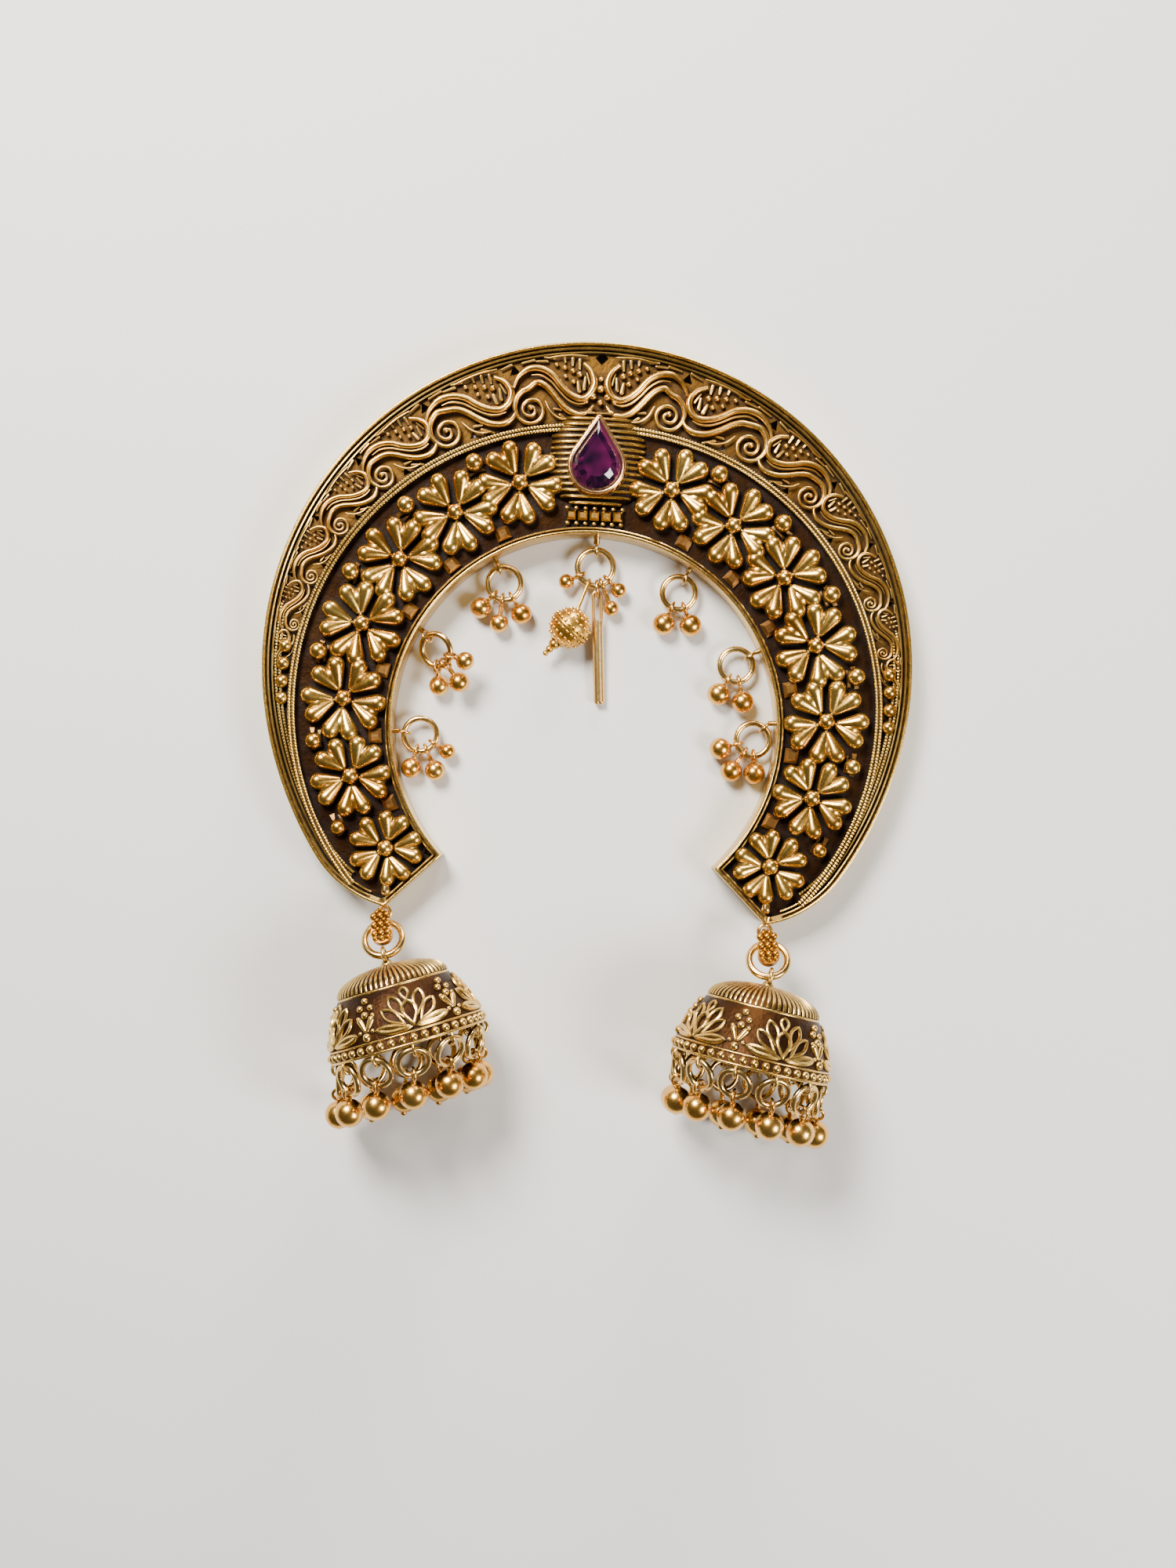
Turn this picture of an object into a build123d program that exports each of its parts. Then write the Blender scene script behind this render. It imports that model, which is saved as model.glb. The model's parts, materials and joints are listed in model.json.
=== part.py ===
from build123d import *
from collections import namedtuple
from math import atan2, cos, degrees, radians, sin, sqrt
import os

# Hair bun ornament: a horseshoe of cast flowers and scrolls with a pear stone,
# seven small charms inside it and a dome bell on a jump ring at each tip.
# It lies on its back: +Y is the top of the horseshoe, +Z its front.

os.makedirs("parts", exist_ok=True)

# Outline of the horseshoe
outer_radius = 45.7
shoulder_angle = -10.0
flank = (36.9, -28.2)
tip = (26.8, -35.0)
inner_radius = 27.1
inner_centre_y = -8.3
inner_corner_angle = -45.0

# Heights through the casting, measured from the face that it lies on
rim_height = 5.6
rim_width = 0.9
floor_bottom = 3.2
floor_top = 4.0
root = 0.2

# Raised wire between the scroll band and the flower band
divider_radius = 39.55
divider_centre = (1.8, -5.9)
divider_width = 0.7
divider_height = 5.3

# Flowers of five heart petals, outlined from the tip to the cleft
petal_count = 5
HeartPoint = namedtuple("HeartPoint", "along across")
heart = [
    HeartPoint(0.8, 0.0),
    HeartPoint(2.2, 1.15),
    HeartPoint(3.2, 1.95),
    HeartPoint(4.3, 2.3),
    HeartPoint(5.1, 1.9),
    HeartPoint(5.3, 1.1),
    HeartPoint(4.5, 0.0),
]
HeartStep = namedtuple("HeartStep", "height share")
heart_steps = [HeartStep(3.8, 1.0), HeartStep(5.3, 0.86), HeartStep(6.2, 0.5)]
heart_middle = 3.4
flower_eye_radius = 1.05
flower_eye_z = 5.2
Flower = namedtuple("Flower", "x y petal_angle")
flowers = [
    Flower(10.7, 25.5, 270),
    Flower(19.6, 20.9, 258),
    Flower(27.1, 13.9, 239),
    Flower(31.95, 4.6, 294),
    Flower(34.0, -6.0, 274),
    Flower(32.5, -16.9, 260),
    Flower(26.9, -26.7, 248),
]

# Large granules: by the divider between flowers, and a row down each side
Granule = namedtuple("Granule", "x y radius")
granules = [
    Granule(17.3, 28.0, 1.3),
    Granule(26.6, 21.6, 1.3),
    Granule(33.9, 11.9, 1.3),
    Granule(37.9, 0.5, 1.3),
    Granule(38.0, -12.2, 1.2),
    Granule(33.9, -24.2, 1.1),
    Granule(42.55, 1.0, 0.95),
    Granule(42.75, -1.5, 0.95),
    Granule(42.8, -4.0, 0.95),
    Granule(42.75, -6.4, 0.9),
]
granule_sink = 0.25

# Scroll band: a spiral under each crest, angles measured from the top
Scroll = namedtuple("Scroll", "angle reach radius")
scrolls = [
    Scroll(15.2, 37.1, 2.2),
    Scroll(33.7, 38.5, 2.2),
    Scroll(49.7, 39.4, 1.8),
    Scroll(63.0, 40.1, 1.4),
    Scroll(74.6, 40.9, 1.15),
    Scroll(84.5, 41.7, 0.95),
]
scroll_height = 5.3
scroll_wire = 0.24
spiral_shrink = (1.0, 0.74, 0.48)
# A strand's course: place along the unit from one spiral to the next, and
# level across the band from the divider to the rim
Course = namedtuple("Course", "place level")
outer_strand = [
    Course(0.25, 0.82),
    Course(0.15, 0.60),
    Course(0.24, 0.38),
    Course(0.46, 0.40),
    Course(0.64, 0.68),
    Course(0.90, 0.81),
    Course(1.15, 0.60),
]
inner_strand = [
    Course(0.22, 0.22),
    Course(0.37, 0.16),
    Course(0.62, 0.36),
    Course(0.77, 0.58),
    Course(0.95, 0.62),
]
strand_share = 0.4
floret_place = Course(0.44, 0.68)
floret_balls = 5
floret_ring_share = 0.45
floret_ball_share = 0.26
rim_gap_place = Course(0.08, 0.86)
divider_gap_place = Course(0.72, 0.12)
gap_share = 0.36

# Ribbed medallion, its row of granules and the pear stone in its collet
medallion_size = (13.5, 13.4)
medallion_corner = 5.0
medallion_y = 29.4
medallion_top = 6.1
medallion_slope = 1.4
rib_pitch = 0.85
rib_gap = 0.3
rib_depth = 0.35
pear_centre_y = 28.1
pear_apex_y = 34.75
pear_apex_radius = 0.5
collet_radius = 4.1
collet_wall = 0.6
collet_seat = 6.1
collet_top = 7.0
fit_gap = 0.1
stone_facets = 16
stone_girdle = 7.0
stone_top = 8.1
table_share = 0.52
row_granules = 5
row_pitch = 1.65
row_y = 21.3

# Clip behind the top band, held by two bridges of the casting
clip_length = 44.0
clip_width = 5.0
clip_strip = 0.5
clip_y = 31.0
clip_low = 0.3
clip_high = 3.1
bridge_places = (-12.0, 12.0)
bridge_width = 4.0
bridge_thickness = 0.6
bridge_post = 0.8

# Wires of eyes and rings, as the radius of the ring and of its wire
Ring = namedtuple("Ring", "major wire")
eye = Ring(0.85, 0.22)
tip_ring = Ring(2.65, 0.5)
tip_eye = Ring(0.9, 0.28)
crown_eye = Ring(1.05, 0.3)
bail_loop = Ring(1.0, 0.3)
drop_ring = Ring(2.02, 0.42)
stem_radius = 0.35
neck_inset = 0.06
tip_eye_z = 4.9
tip_root_length = 1.2
tip_root_radius = 0.5
centre_stem_radius = 0.45
crown_stem_radius = 0.6

# Bell, measured up its axis from the rim
bell_wall_centre = (-11.25, -4.0)
bell_wall_radius = 22.51
bell_wall = 0.7
cap_height = 8.3
cap_radius = 7.95
cap_top = 11.2
cap_lip = 0.4
cap_ribs = 40
cap_rib_height = 0.25
rim_band_inner = 9.7
rim_band_height = 1.5
rim_beads = 44
rim_bead_radius = 0.6
rim_bead_ring = 10.63
rim_bead_height = 0.72
crown_eye_height = 12.3
cap_rib_gap = 0.35
lotus_count = 5
lotus_first = 105.0
lotus_root_radius = 0.2
lotus_root_sink = 0.07
lotus_end_lift = 0.08
Petal = namedtuple("Petal", "start_across start_height end_across end_height radius")
lotus = [
    Petal(0.0, 2.2, 0.0, 4.3, 0.55),
    Petal(0.5, 2.2, 1.6, 4.9, 0.42),
    Petal(0.9, 2.1, 2.9, 3.9, 0.42),
    Petal(0.8, 1.6, 3.2, 2.0, 0.4),
]
bell_lean = 5.0
drop_count = 12
drop_eye_ring = 10.1
drop_eye_height = -0.8
drop_ball_radius = 1.95
drop_neck = 3.35
drop_tip_radius = 0.45
Bell = namedtuple("Bell", "name side x y mouth_angle first_drop")
bells = [
    Bell("left", -1, -21.86, -52.93, -70.9, 10.0),
    Bell("right", 1, 24.93, -53.71, -101.1, 14.0),
]
tip_ring_slope = 36.0

# Bail: a wire loop under a granulated plate that slopes up over the jump ring
bail_slope = 31.0
bail_half_length = 1.3
bail_narrow = 1.1
bail_wide = 1.5
bail_thickness = 1.0
bail_plate_rise = 1.45
bail_plate_shift = 0.35
bail_granule = 0.52
bail_granule_pitch = (1.35, 0.95)

# Droop of the bell's drops below level, by how high the drop's eye is
Droop = namedtuple("Droop", "eye_height angle")
droops = [Droop(1.2, -6), Droop(3.4, 10), Droop(8.0, 20), Droop(13.0, 24), Droop(23.0, 27)]

# Charms on the inner rim: where the eye is and how the ring hangs, then the
# beads of each ring by their turn round it and their reach from its centre
Charm = namedtuple("Charm", "name eye_angle eye_z hang tilt")
Bead = namedtuple("Bead", "charm turn reach radius")
charm_ring = Ring(2.35, 0.42)
charm_eye_inset = 1.45
charms = [
    Charm("upper_left", 121.0, 1.7, -68, 0),
    Charm("upper_right", 58.6, 1.7, -111, 0),
    Charm("middle_left", 152.9, 3.3, -54, 32),
    Charm("middle_right", 25.9, 1.7, -143, 0),
    Charm("lower_left", 184.4, 1.7, -7, 0),
    Charm("lower_right", 2.5, 1.7, -131, 0),
]
charm_beads = [
    Bead("upper_left", -64, 4.8, 1.5),
    Bead("upper_left", -27, 5.7, 1.35),
    Bead("upper_left", 10, 4.9, 1.5),
    Bead("upper_right", -2, 4.9, 1.6),
    Bead("upper_right", 44, 4.9, 1.6),
    Bead("middle_left", -34, 5.2, 1.45),
    Bead("middle_left", 3, 5.6, 1.45),
    Bead("middle_left", 40, 4.8, 1.3),
    Bead("middle_right", 24, 4.8, 1.6),
    Bead("middle_right", 66, 5.3, 1.6),
    Bead("lower_left", -96, 4.9, 1.45),
    Bead("lower_left", -58, 5.5, 1.45),
    Bead("lower_left", -22, 4.5, 1.15),
    Bead("lower_right", -31, 4.8, 1.55),
    Bead("lower_right", 9, 5.4, 1.55),
    Bead("lower_right", 46, 4.8, 1.55),
]

# Centre group: a ring on a stem, small beads, a granulated ball and a long rod
centre_ring = Ring(2.55, 0.45)
centre_place = (0.5, 14.4, 1.7)
centre_beads = [
    Bead("centre", -152, 4.6, 1.1),
    Bead("centre", -66, 6.2, 1.1),
    Bead("centre", -41, 4.6, 1.1),
]
ball_turn = -112
ball_centre = (-2.7, 5.6, 3.12)
ball_radius = 2.85
ball_axis = (-0.66, -0.75, -0.1)
ball_loop_half_width = 0.8
ball_band_wire = 0.25
BallGranule = namedtuple("BallGranule", "reach radius")
ball_granules = [BallGranule(3.2, 0.8), BallGranule(4.2, 0.55), BallGranule(5.0, 0.42)]
link_turn = -83
link_ring = Ring(1.1, 0.25)
link_drop = 0.42
rod_end = (1.95, -4.6)
rod_radius = 0.8
rod_clearance = 0.02
rod_loop_length = 4.4
rod_loop_half_width = 0.55
rod_loop_wire = 0.26


def polar(radius, angle, centre=(0.0, 0.0)):
    """Point at an angle in degrees from +X round a centre."""
    return (
        centre[0] + radius * cos(radians(angle)),
        centre[1] + radius * sin(radians(angle)),
    )


def both_sides(rows):
    """Every x of a table on the right, then the same on the left."""
    return [(side * row.x, row.y, row) for row in rows for side in (1, -1)]


def between(table, value, column, result):
    """Value of one column read off a table by another, in straight lines."""
    for low, high in zip(table, table[1:]):
        start, end = getattr(low, column), getattr(high, column)
        if value <= end or high is table[-1]:
            share = (value - start) / (end - start)
            return getattr(low, result) + share * (getattr(high, result) - getattr(low, result))


def bell_radius_at(height):
    """Outer radius of the bell's wall at a height above its rim."""
    rise = height - bell_wall_centre[1]
    return bell_wall_centre[0] + sqrt(bell_wall_radius**2 - rise**2)


def divider_reach(angle):
    """Distance of the divider from the horseshoe's centre, angle from the top."""
    across, up = divider_centre
    along = across * sin(radians(angle)) + up * cos(radians(angle))
    return along + sqrt(along**2 - across**2 - up**2 + divider_radius**2)


def band_point(unit, course, side):
    """Point of the scroll band for a place in one unit and a level across it."""
    extra = scrolls[-1].angle + 8.0
    angles = [row.angle for row in scrolls] + [extra]
    step = angles[unit + 1] - angles[unit]
    angle = angles[unit] + course.place * step
    inside = divider_reach(angle) + divider_width / 2
    outside = outer_radius - rim_width
    reach = inside + course.level * (outside - inside)
    return (side * reach * sin(radians(angle)), reach * cos(radians(angle)))


def cast_drop(start, start_radius, end, end_radius):
    """Two balls of different size joined by the cone that touches both."""
    run = Vector(*end) - Vector(*start)
    lean = (end_radius - start_radius) / run.length
    rise = sqrt(1 - lean**2)
    across = Vector(0, 0, 1) if abs(run.normalized().Z) < 0.9 else Vector(1, 0, 0)
    plane = Plane(origin=start, x_dir=run, z_dir=run.cross(across))
    first = (-start_radius * lean, start_radius * rise)
    second = (run.length - end_radius * lean, end_radius * rise)
    first_middle = polar(start_radius, (180 + degrees(atan2(rise, -lean))) / 2)
    second_middle = polar(end_radius, degrees(atan2(rise, -lean)) / 2, (run.length, 0))
    with BuildPart() as blank:
        with BuildSketch(plane):
            with BuildLine():
                ThreePointArc((-start_radius, 0), first_middle, first)
                Line(first, second)
                ThreePointArc(second, second_middle, (run.length + end_radius, 0))
                Line((run.length + end_radius, 0), (-start_radius, 0))
            make_face()
        revolve(axis=Axis(start, run))
    return blank.part


def wire_ring(centre, normal, ring):
    """Closed round ring of round wire."""
    with BuildPart() as blank:
        with Locations(Plane(origin=centre, z_dir=normal)):
            Torus(ring.major, ring.wire)
    return blank.part


def wire_stem(start, end, radius):
    """Straight round wire between two points."""
    run = Vector(*end) - Vector(*start)
    with BuildPart() as blank:
        with BuildSketch(Plane(origin=start, z_dir=run)):
            Circle(radius)
        extrude(amount=run.length)
    return blank.part


def long_loop(near, far, normal, half_width, wire):
    """Wire bent into a long loop whose ends go round two points."""
    run = Vector(*far) - Vector(*near)
    plane = Plane(origin=near, x_dir=run, z_dir=normal)
    with BuildPart() as blank:
        with BuildLine(plane) as path:
            lower = Line((0, -half_width), (run.length, -half_width))
            ThreePointArc(lower @ 1, (run.length + half_width, 0), (run.length, half_width))
            upper = Line((run.length, half_width), (0, half_width))
            ThreePointArc(upper @ 1, (-half_width, 0), (0, -half_width))
        with BuildSketch(Plane(origin=path.line @ 0, z_dir=run)):
            Circle(wire)
        sweep(path=path.line)
    return blank.part


def hung_bead(hook, direction, wire_dir, distance, radius, tip_radius):
    """Bead with its eye round a wire at the hook, a neck and a tip granule."""
    centre = Vector(*hook) + Vector(*direction) * distance
    loop = wire_ring(hook, wire_dir, eye)
    neck_start = Vector(*hook) + Vector(*direction) * (eye.major + neck_inset)
    neck = wire_stem(neck_start, centre, stem_radius)
    with BuildPart() as blank:
        with Locations(centre):
            Sphere(radius)
        add(neck)
        add(loop)
        if tip_radius:
            with Locations(centre + Vector(*direction) * radius):
                Sphere(tip_radius)
    return blank.part


# The horseshoe's flat outline, and the same inside its rim wires
corner = polar(inner_radius, inner_corner_angle, (0, inner_centre_y))
with BuildSketch() as outline:
    with BuildLine():
        crest = CenterArc((0, 0), outer_radius, 90, shoulder_angle - 90)
        shoulder = TangentArc(crest @ 1, flank, tangent=crest % 1)
        TangentArc(shoulder @ 1, tip, tangent=shoulder % 1)
        Line(tip, corner)
        CenterArc((0, inner_centre_y), inner_radius, inner_corner_angle, 90 - inner_corner_angle)
        mirror(about=Plane.YZ)
    make_face()
with BuildSketch() as recess:
    offset(outline.sketch, amount=-rim_width)

# One flower of five heart petals, each domed in two flat-faced steps
heart_half = [(point.along, point.across) for point in heart]
heart_points = heart_half + [(along, -across) for along, across in heart_half[-2:0:-1]]
with BuildPart() as flower:
    for low, high in zip(heart_steps, heart_steps[1:]):
        for step in (low, high):
            shrunk = [
                (heart_middle + (along - heart_middle) * step.share, across * step.share)
                for along, across in heart_points
            ]
            with BuildSketch(Plane.XY.offset(step.height)):
                Polygon(*shrunk, align=None)
        loft(ruled=True)
with BuildPart() as flower_head:
    with PolarLocations(0, petal_count):
        add(flower.part)
    with Locations((0, 0, flower_eye_z)):
        Sphere(flower_eye_radius)
    with Locations((0, 0, (flower_eye_z + floor_top) / 2)):
        Cylinder(flower_eye_radius, flower_eye_z - floor_top + root)

# Medallion: grooves cut to a rib's depth all over a sloped cushion
def sloped_cushion(inset, top):
    """Rounded square block with sloped sides, smaller all round by an inset."""
    width, length = medallion_size
    with BuildPart() as blank:
        for height, narrow in ((floor_top - root, inset), (top, inset + medallion_slope)):
            with BuildSketch(Plane.XY.offset(height)):
                with Locations((0, medallion_y)):
                    RectangleRounded(width - 2 * narrow, length - 2 * narrow, medallion_corner - narrow)
        loft()
    return blank.part


rib_count = int(medallion_size[1] / rib_pitch)
ribbed_block = sloped_cushion(0, medallion_top)
core_block = sloped_cushion(rib_depth, medallion_top - rib_depth)
with BuildPart() as medallion:
    add(ribbed_block)
    with Locations((0, medallion_y, medallion_top)):
        with GridLocations(1, rib_pitch, 1, rib_count):
            Box(medallion_size[0], rib_gap, 2 * (medallion_top - floor_top), mode=Mode.SUBTRACT)
    add(core_block)

# Pear outlines of the collet, its seat and the stone
def pear_sketch(wall):
    """Pear outline that is smaller than the collet's by a wall."""
    with BuildSketch() as pear:
        with Locations((0, pear_centre_y)):
            Circle(collet_radius - wall)
        with Locations((0, pear_apex_y - wall)):
            Circle(pear_apex_radius)
        make_hull()
    return pear.sketch


collet_face = pear_sketch(0)
seat_face = pear_sketch(collet_wall)
stone_rim = pear_sketch(collet_wall + fit_gap).face().outer_wire()
stone_middle = Vector(0, pear_centre_y, 0)
stone_points = [stone_rim @ (place / stone_facets) for place in range(stone_facets)]
table_points = [stone_middle + (point - stone_middle) * table_share for point in stone_points]

with BuildPart() as stone:
    with BuildSketch(Plane.XY.offset(collet_seat + fit_gap)):
        Polygon(*stone_points, align=None)
    extrude(amount=stone_girdle - collet_seat - fit_gap)
    with BuildSketch(Plane.XY.offset(stone_girdle)):
        Polygon(*stone_points, align=None)
    with BuildSketch(Plane.XY.offset(stone_top)):
        Polygon(*table_points, align=None)
    loft(ruled=True)

# Eyes and stems on the inner rim
rim_centre = (0, inner_centre_y)


def charm_frame(charm):
    """Hook of a charm's ring, the way it hangs and the way across it."""
    hook = Vector(*polar(inner_radius - charm_eye_inset, charm.eye_angle, rim_centre), charm.eye_z)
    down = Vector(*polar(1, charm.hang), 0)
    tilt = radians(charm.tilt)
    across = Vector(*polar(cos(tilt), charm.hang + 90), sin(tilt))
    return hook, down, across


with BuildPart() as wirework:
    for charm in charms:
        hook, down, across = charm_frame(charm)
        near = hook - down * (eye.major - neck_inset)
        turn = degrees(atan2(near.Y - inner_centre_y, near.X))
        wall_point = Vector(*polar(inner_radius + rim_width / 2, turn, rim_centre), charm.eye_z)
        add(wire_stem(near, wall_point, stem_radius))
        add(wire_ring(hook, across, eye))
    centre_hook = (centre_place[0], centre_place[1] + centre_ring.major, centre_place[2])
    centre_wall = (centre_place[0], inner_centre_y + inner_radius + rim_width / 2, centre_place[2])
    centre_near = (centre_place[0], centre_hook[1] + eye.major, centre_place[2])
    add(wire_stem(centre_near, centre_wall, centre_stem_radius))
    add(wire_ring(centre_hook, (1, 0, 0), eye))
    for side in (-1, 1):
        root_start = (side * tip[0], tip[1], tip_eye_z)
        root_end = (side * (tip[0] + 0.3), tip[1] + tip_root_length, tip_eye_z)
        add(wire_stem(root_start, root_end, tip_root_radius))
        add(wire_ring((side * tip[0], tip[1] - tip_eye.major, tip_eye_z), (0, 0, 1), tip_eye))

with BuildPart() as crescent:
    # Floor of the casting and its two rim walls
    with BuildSketch(Plane.XY.offset(floor_bottom)):
        add(outline.sketch)
    extrude(amount=floor_top - floor_bottom)
    with BuildSketch():
        add(outline.sketch)
        add(recess.sketch, mode=Mode.SUBTRACT)
    extrude(amount=rim_height)
    # Divider wire on both sides
    with BuildSketch(Plane.XY.offset(floor_top - root)):
        with Locations(divider_centre):
            Circle(divider_radius + divider_width / 2)
            Circle(divider_radius - divider_width / 2, mode=Mode.SUBTRACT)
        with Locations((outer_radius, 0)):
            Rectangle(2 * outer_radius, 4 * outer_radius, mode=Mode.INTERSECT)
        mirror(about=Plane.YZ)
        add(recess.sketch, mode=Mode.INTERSECT)
    extrude(amount=divider_height - floor_top + root)
    # Scroll strands, spirals and florets
    for unit, scroll in enumerate(scrolls):
        for side in (-1, 1):
            size = scroll.radius
            centre = (
                side * scroll.reach * sin(radians(scroll.angle)),
                scroll.reach * cos(radians(scroll.angle)),
            )
            with BuildSketch(Plane.XY.offset(floor_top - root)):
                turn = 90 - side * scroll.angle
                middle = centre
                last = size
                for half, share in enumerate(spiral_shrink):
                    start = turn + side * 180 * half
                    middle = polar(last - size * share, start, middle)
                    last = size * share
                    with BuildLine():
                        CenterArc(middle, last - scroll_wire, start, side * 180)
                    trace(line_width=max(scroll_wire, size * scroll_wire))
            extrude(amount=scroll_height - floor_top + root)
            strands = [outer_strand, inner_strand] if unit + 1 < len(scrolls) else [outer_strand[:5]]
            for strand in strands:
                points = [band_point(unit, course, side) for course in strand]
                with BuildSketch(Plane.XY.offset(floor_top - root)):
                    with BuildLine():
                        bend = ThreePointArc(*points[:3])
                        for point in points[3:]:
                            bend = TangentArc(bend @ 1, point, tangent=bend % 1)
                    trace(line_width=size * strand_share)
                extrude(amount=scroll_height - floor_top + root)
            floret = band_point(unit, floret_place, side)
            with Locations((*floret, floor_top + root)):
                with PolarLocations(size * floret_ring_share, floret_balls):
                    Sphere(size * floret_ball_share)
    # Granules
    spots = both_sides(granules)
    for size in sorted({row.radius for row in granules}):
        chosen = [(x, y, floor_top + size - granule_sink) for x, y, row in spots if row.radius == size]
        with Locations(*chosen):
            Sphere(size)
    with Locations((0, row_y, floor_top)):
        with GridLocations(row_pitch, 1, row_granules, 1):
            Box(row_pitch * 0.8, row_pitch * 0.8, 2 * (rim_height - floor_top))
    # Flowers
    right_places = [Location((row.x, row.y, 0), (0, 0, row.petal_angle)) for row in flowers]
    left_places = [Location((-row.x, row.y, 0), (0, 0, 180 - row.petal_angle)) for row in flowers]
    with Locations(*right_places, *left_places):
        add(flower_head.part)
    # Medallion and collet
    add(medallion.part)
    with BuildSketch(Plane.XY.offset(medallion_top - rib_depth - root)):
        add(collet_face)
    extrude(amount=collet_top - medallion_top + rib_depth + root)
    with BuildSketch(Plane.XY.offset(collet_seat)):
        add(seat_face)
    extrude(amount=collet_top, mode=Mode.SUBTRACT)
    # Pierced gaps of the scroll band, at the top and in the inner corners
    with BuildSketch():
        for unit, scroll in enumerate(scrolls[:-1]):
            for side in (-1, 1):
                for spot in (rim_gap_place, divider_gap_place):
                    with Locations(band_point(unit, spot, side)):
                        RegularPolygon(scroll.radius * gap_share, 3, rotation=90 - side * scroll.angle)
        with Locations((0, outer_radius - 2.0)):
            RegularPolygon(1.0, 4)
        for side in (-1, 1):
            with Locations((side * (corner[0] + 1.6), corner[1] + 0.4)):
                RegularPolygon(0.8, 4)
    extrude(amount=rim_height, mode=Mode.SUBTRACT)
    # Eyes and stems of the charms and the tips
    add(wirework.part)
    # Two bridges behind the top band hold the clip's upper leg
    bridge_low = clip_high - clip_strip - fit_gap - bridge_thickness
    bridge_span = clip_width + 2 * (fit_gap + bridge_post)
    for place in bridge_places:
        with Locations((place, clip_y, bridge_low + bridge_thickness / 2)):
            Box(bridge_width, bridge_span, bridge_thickness)
        with Locations((place, clip_y, (bridge_low + floor_bottom + root) / 2)):
            with GridLocations(1, bridge_span - bridge_post, 1, 2):
                Box(bridge_width, bridge_post, floor_bottom + root - bridge_low)

# Clip: one strip folded on itself, open at its far end
with BuildPart() as hair_clip:
    with BuildSketch(Plane.XZ.offset(-clip_y)):
        clip_rise = clip_high - clip_low
        with Locations((0, clip_low + clip_rise / 2)):
            SlotOverall(clip_length, clip_rise)
            SlotOverall(clip_length - 2 * clip_strip, clip_rise - 2 * clip_strip, mode=Mode.SUBTRACT)
            with Locations((clip_length / 2, 0)):
                Rectangle(clip_rise, clip_rise, mode=Mode.SUBTRACT)
    extrude(amount=clip_width / 2, both=True)

# Bell, made upright on its own rim before it is laid down
wall_middle = cap_height / 2
inner_top = cap_height - bell_wall / 2
cap_shoulder = (5.0, 10.3)
cap_inner_shoulder = (4.7, 9.5)
cap_crown = cap_top - cap_rib_height
wall_outer = [(bell_radius_at(height), height) for height in (0, wall_middle, cap_height)]
inner_heights = (inner_top, wall_middle, rim_band_height)
wall_inner = [(bell_radius_at(height) - bell_wall, height) for height in inner_heights]
cap_edge = (cap_radius, cap_height + cap_lip)
with BuildPart() as bell_body:
    with BuildSketch(Plane.XZ):
        with BuildLine():
            ThreePointArc(*wall_outer)
            Polyline(wall_outer[-1], (cap_radius, cap_height), cap_edge)
            ThreePointArc(cap_edge, cap_shoulder, (0, cap_crown))
            Line((0, cap_crown), (0, cap_crown - bell_wall))
            ThreePointArc((0, cap_crown - bell_wall), cap_inner_shoulder, wall_inner[0])
            ThreePointArc(*wall_inner)
            Polyline(wall_inner[-1], (rim_band_inner, rim_band_height), (rim_band_inner, 0), wall_outer[0])
        make_face()
    revolve(axis=Axis.Z)

# Ribs of the cap, standing on its dome between narrow radial grooves
rib_inner = 1.5
rib_outer = cap_radius - 0.3
with BuildPart() as cap_rib_layer:
    with BuildSketch(Plane.XZ):
        with BuildLine():
            for rise in (-root, cap_rib_height):
                ThreePointArc(
                    (cap_edge[0], cap_edge[1] + rise),
                    (cap_shoulder[0], cap_shoulder[1] + rise),
                    (0, cap_crown + rise),
                )
            Line((0, cap_crown - root), (0, cap_top))
            Line((cap_edge[0], cap_edge[1] - root), (cap_edge[0], cap_edge[1] + cap_rib_height))
        make_face()
        with Locations(((rib_inner + rib_outer) / 2, cap_top)):
            Rectangle(rib_outer - rib_inner, 2 * cap_top, mode=Mode.INTERSECT)
    revolve(axis=Axis.Z)
    with Locations((0, 0, cap_top)):
        with PolarLocations(cap_radius / 2 + rib_inner / 2, cap_ribs):
            Box(cap_radius, cap_rib_gap, 2 * cap_height, mode=Mode.SUBTRACT)


def on_wall(turn, across, height, proud):
    """Point on the bell's wall, a distance across from a turn about the axis."""
    radius = bell_radius_at(height) + proud
    angle = turn + degrees(across / radius)
    return (*polar(radius, angle), height)


with BuildPart() as lotus_motif:
    for petal in lotus:
        for side in (-1, 1) if petal.end_across else (1,):
            start = on_wall(lotus_first, side * petal.start_across, petal.start_height, -lotus_root_sink)
            end = on_wall(lotus_first, side * petal.end_across, petal.end_height, lotus_end_lift)
            add(cast_drop(start, lotus_root_radius, end, petal.radius))

with BuildPart() as rim_eyes:
    for number in range(drop_count):
        turn = number * 360 / drop_count
        hook = (*polar(drop_eye_ring, turn), drop_eye_height)
        add(wire_ring(hook, (-sin(radians(turn)), cos(radians(turn)), 0), eye))

# Everything of the bell but its drop eyes
with BuildPart() as bell_shell:
    add(bell_body.part)
    for number in range(lotus_count):
        add(lotus_motif.part, rotation=(0, 0, number * 360 / lotus_count))
    with Locations((0, 0, rim_bead_height)):
        with PolarLocations(rim_bead_ring, rim_beads, start_angle=180 / rim_beads):
            Sphere(rim_bead_radius, rotation=(0, 90, 0))
    crown_foot = (0, 0, cap_crown - root)
    add(wire_stem(crown_foot, (0, 0, crown_eye_height - crown_eye.major), crown_stem_radius))
    add(wire_ring((0, 0, crown_eye_height), (1, 0, 0), crown_eye))
    add(cap_rib_layer.part)


def laid_bell(bell):
    """Bell with its drop eyes turned to their places, laid on its side."""
    with BuildPart() as upright:
        add(bell_shell.part)
        add(rim_eyes.part, rotation=(0, 0, 90 + bell.first_drop))
    with BuildPart() as laid:
        with Locations(bell_plane(bell).location):
            add(upright.part)
    return laid.part


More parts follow.
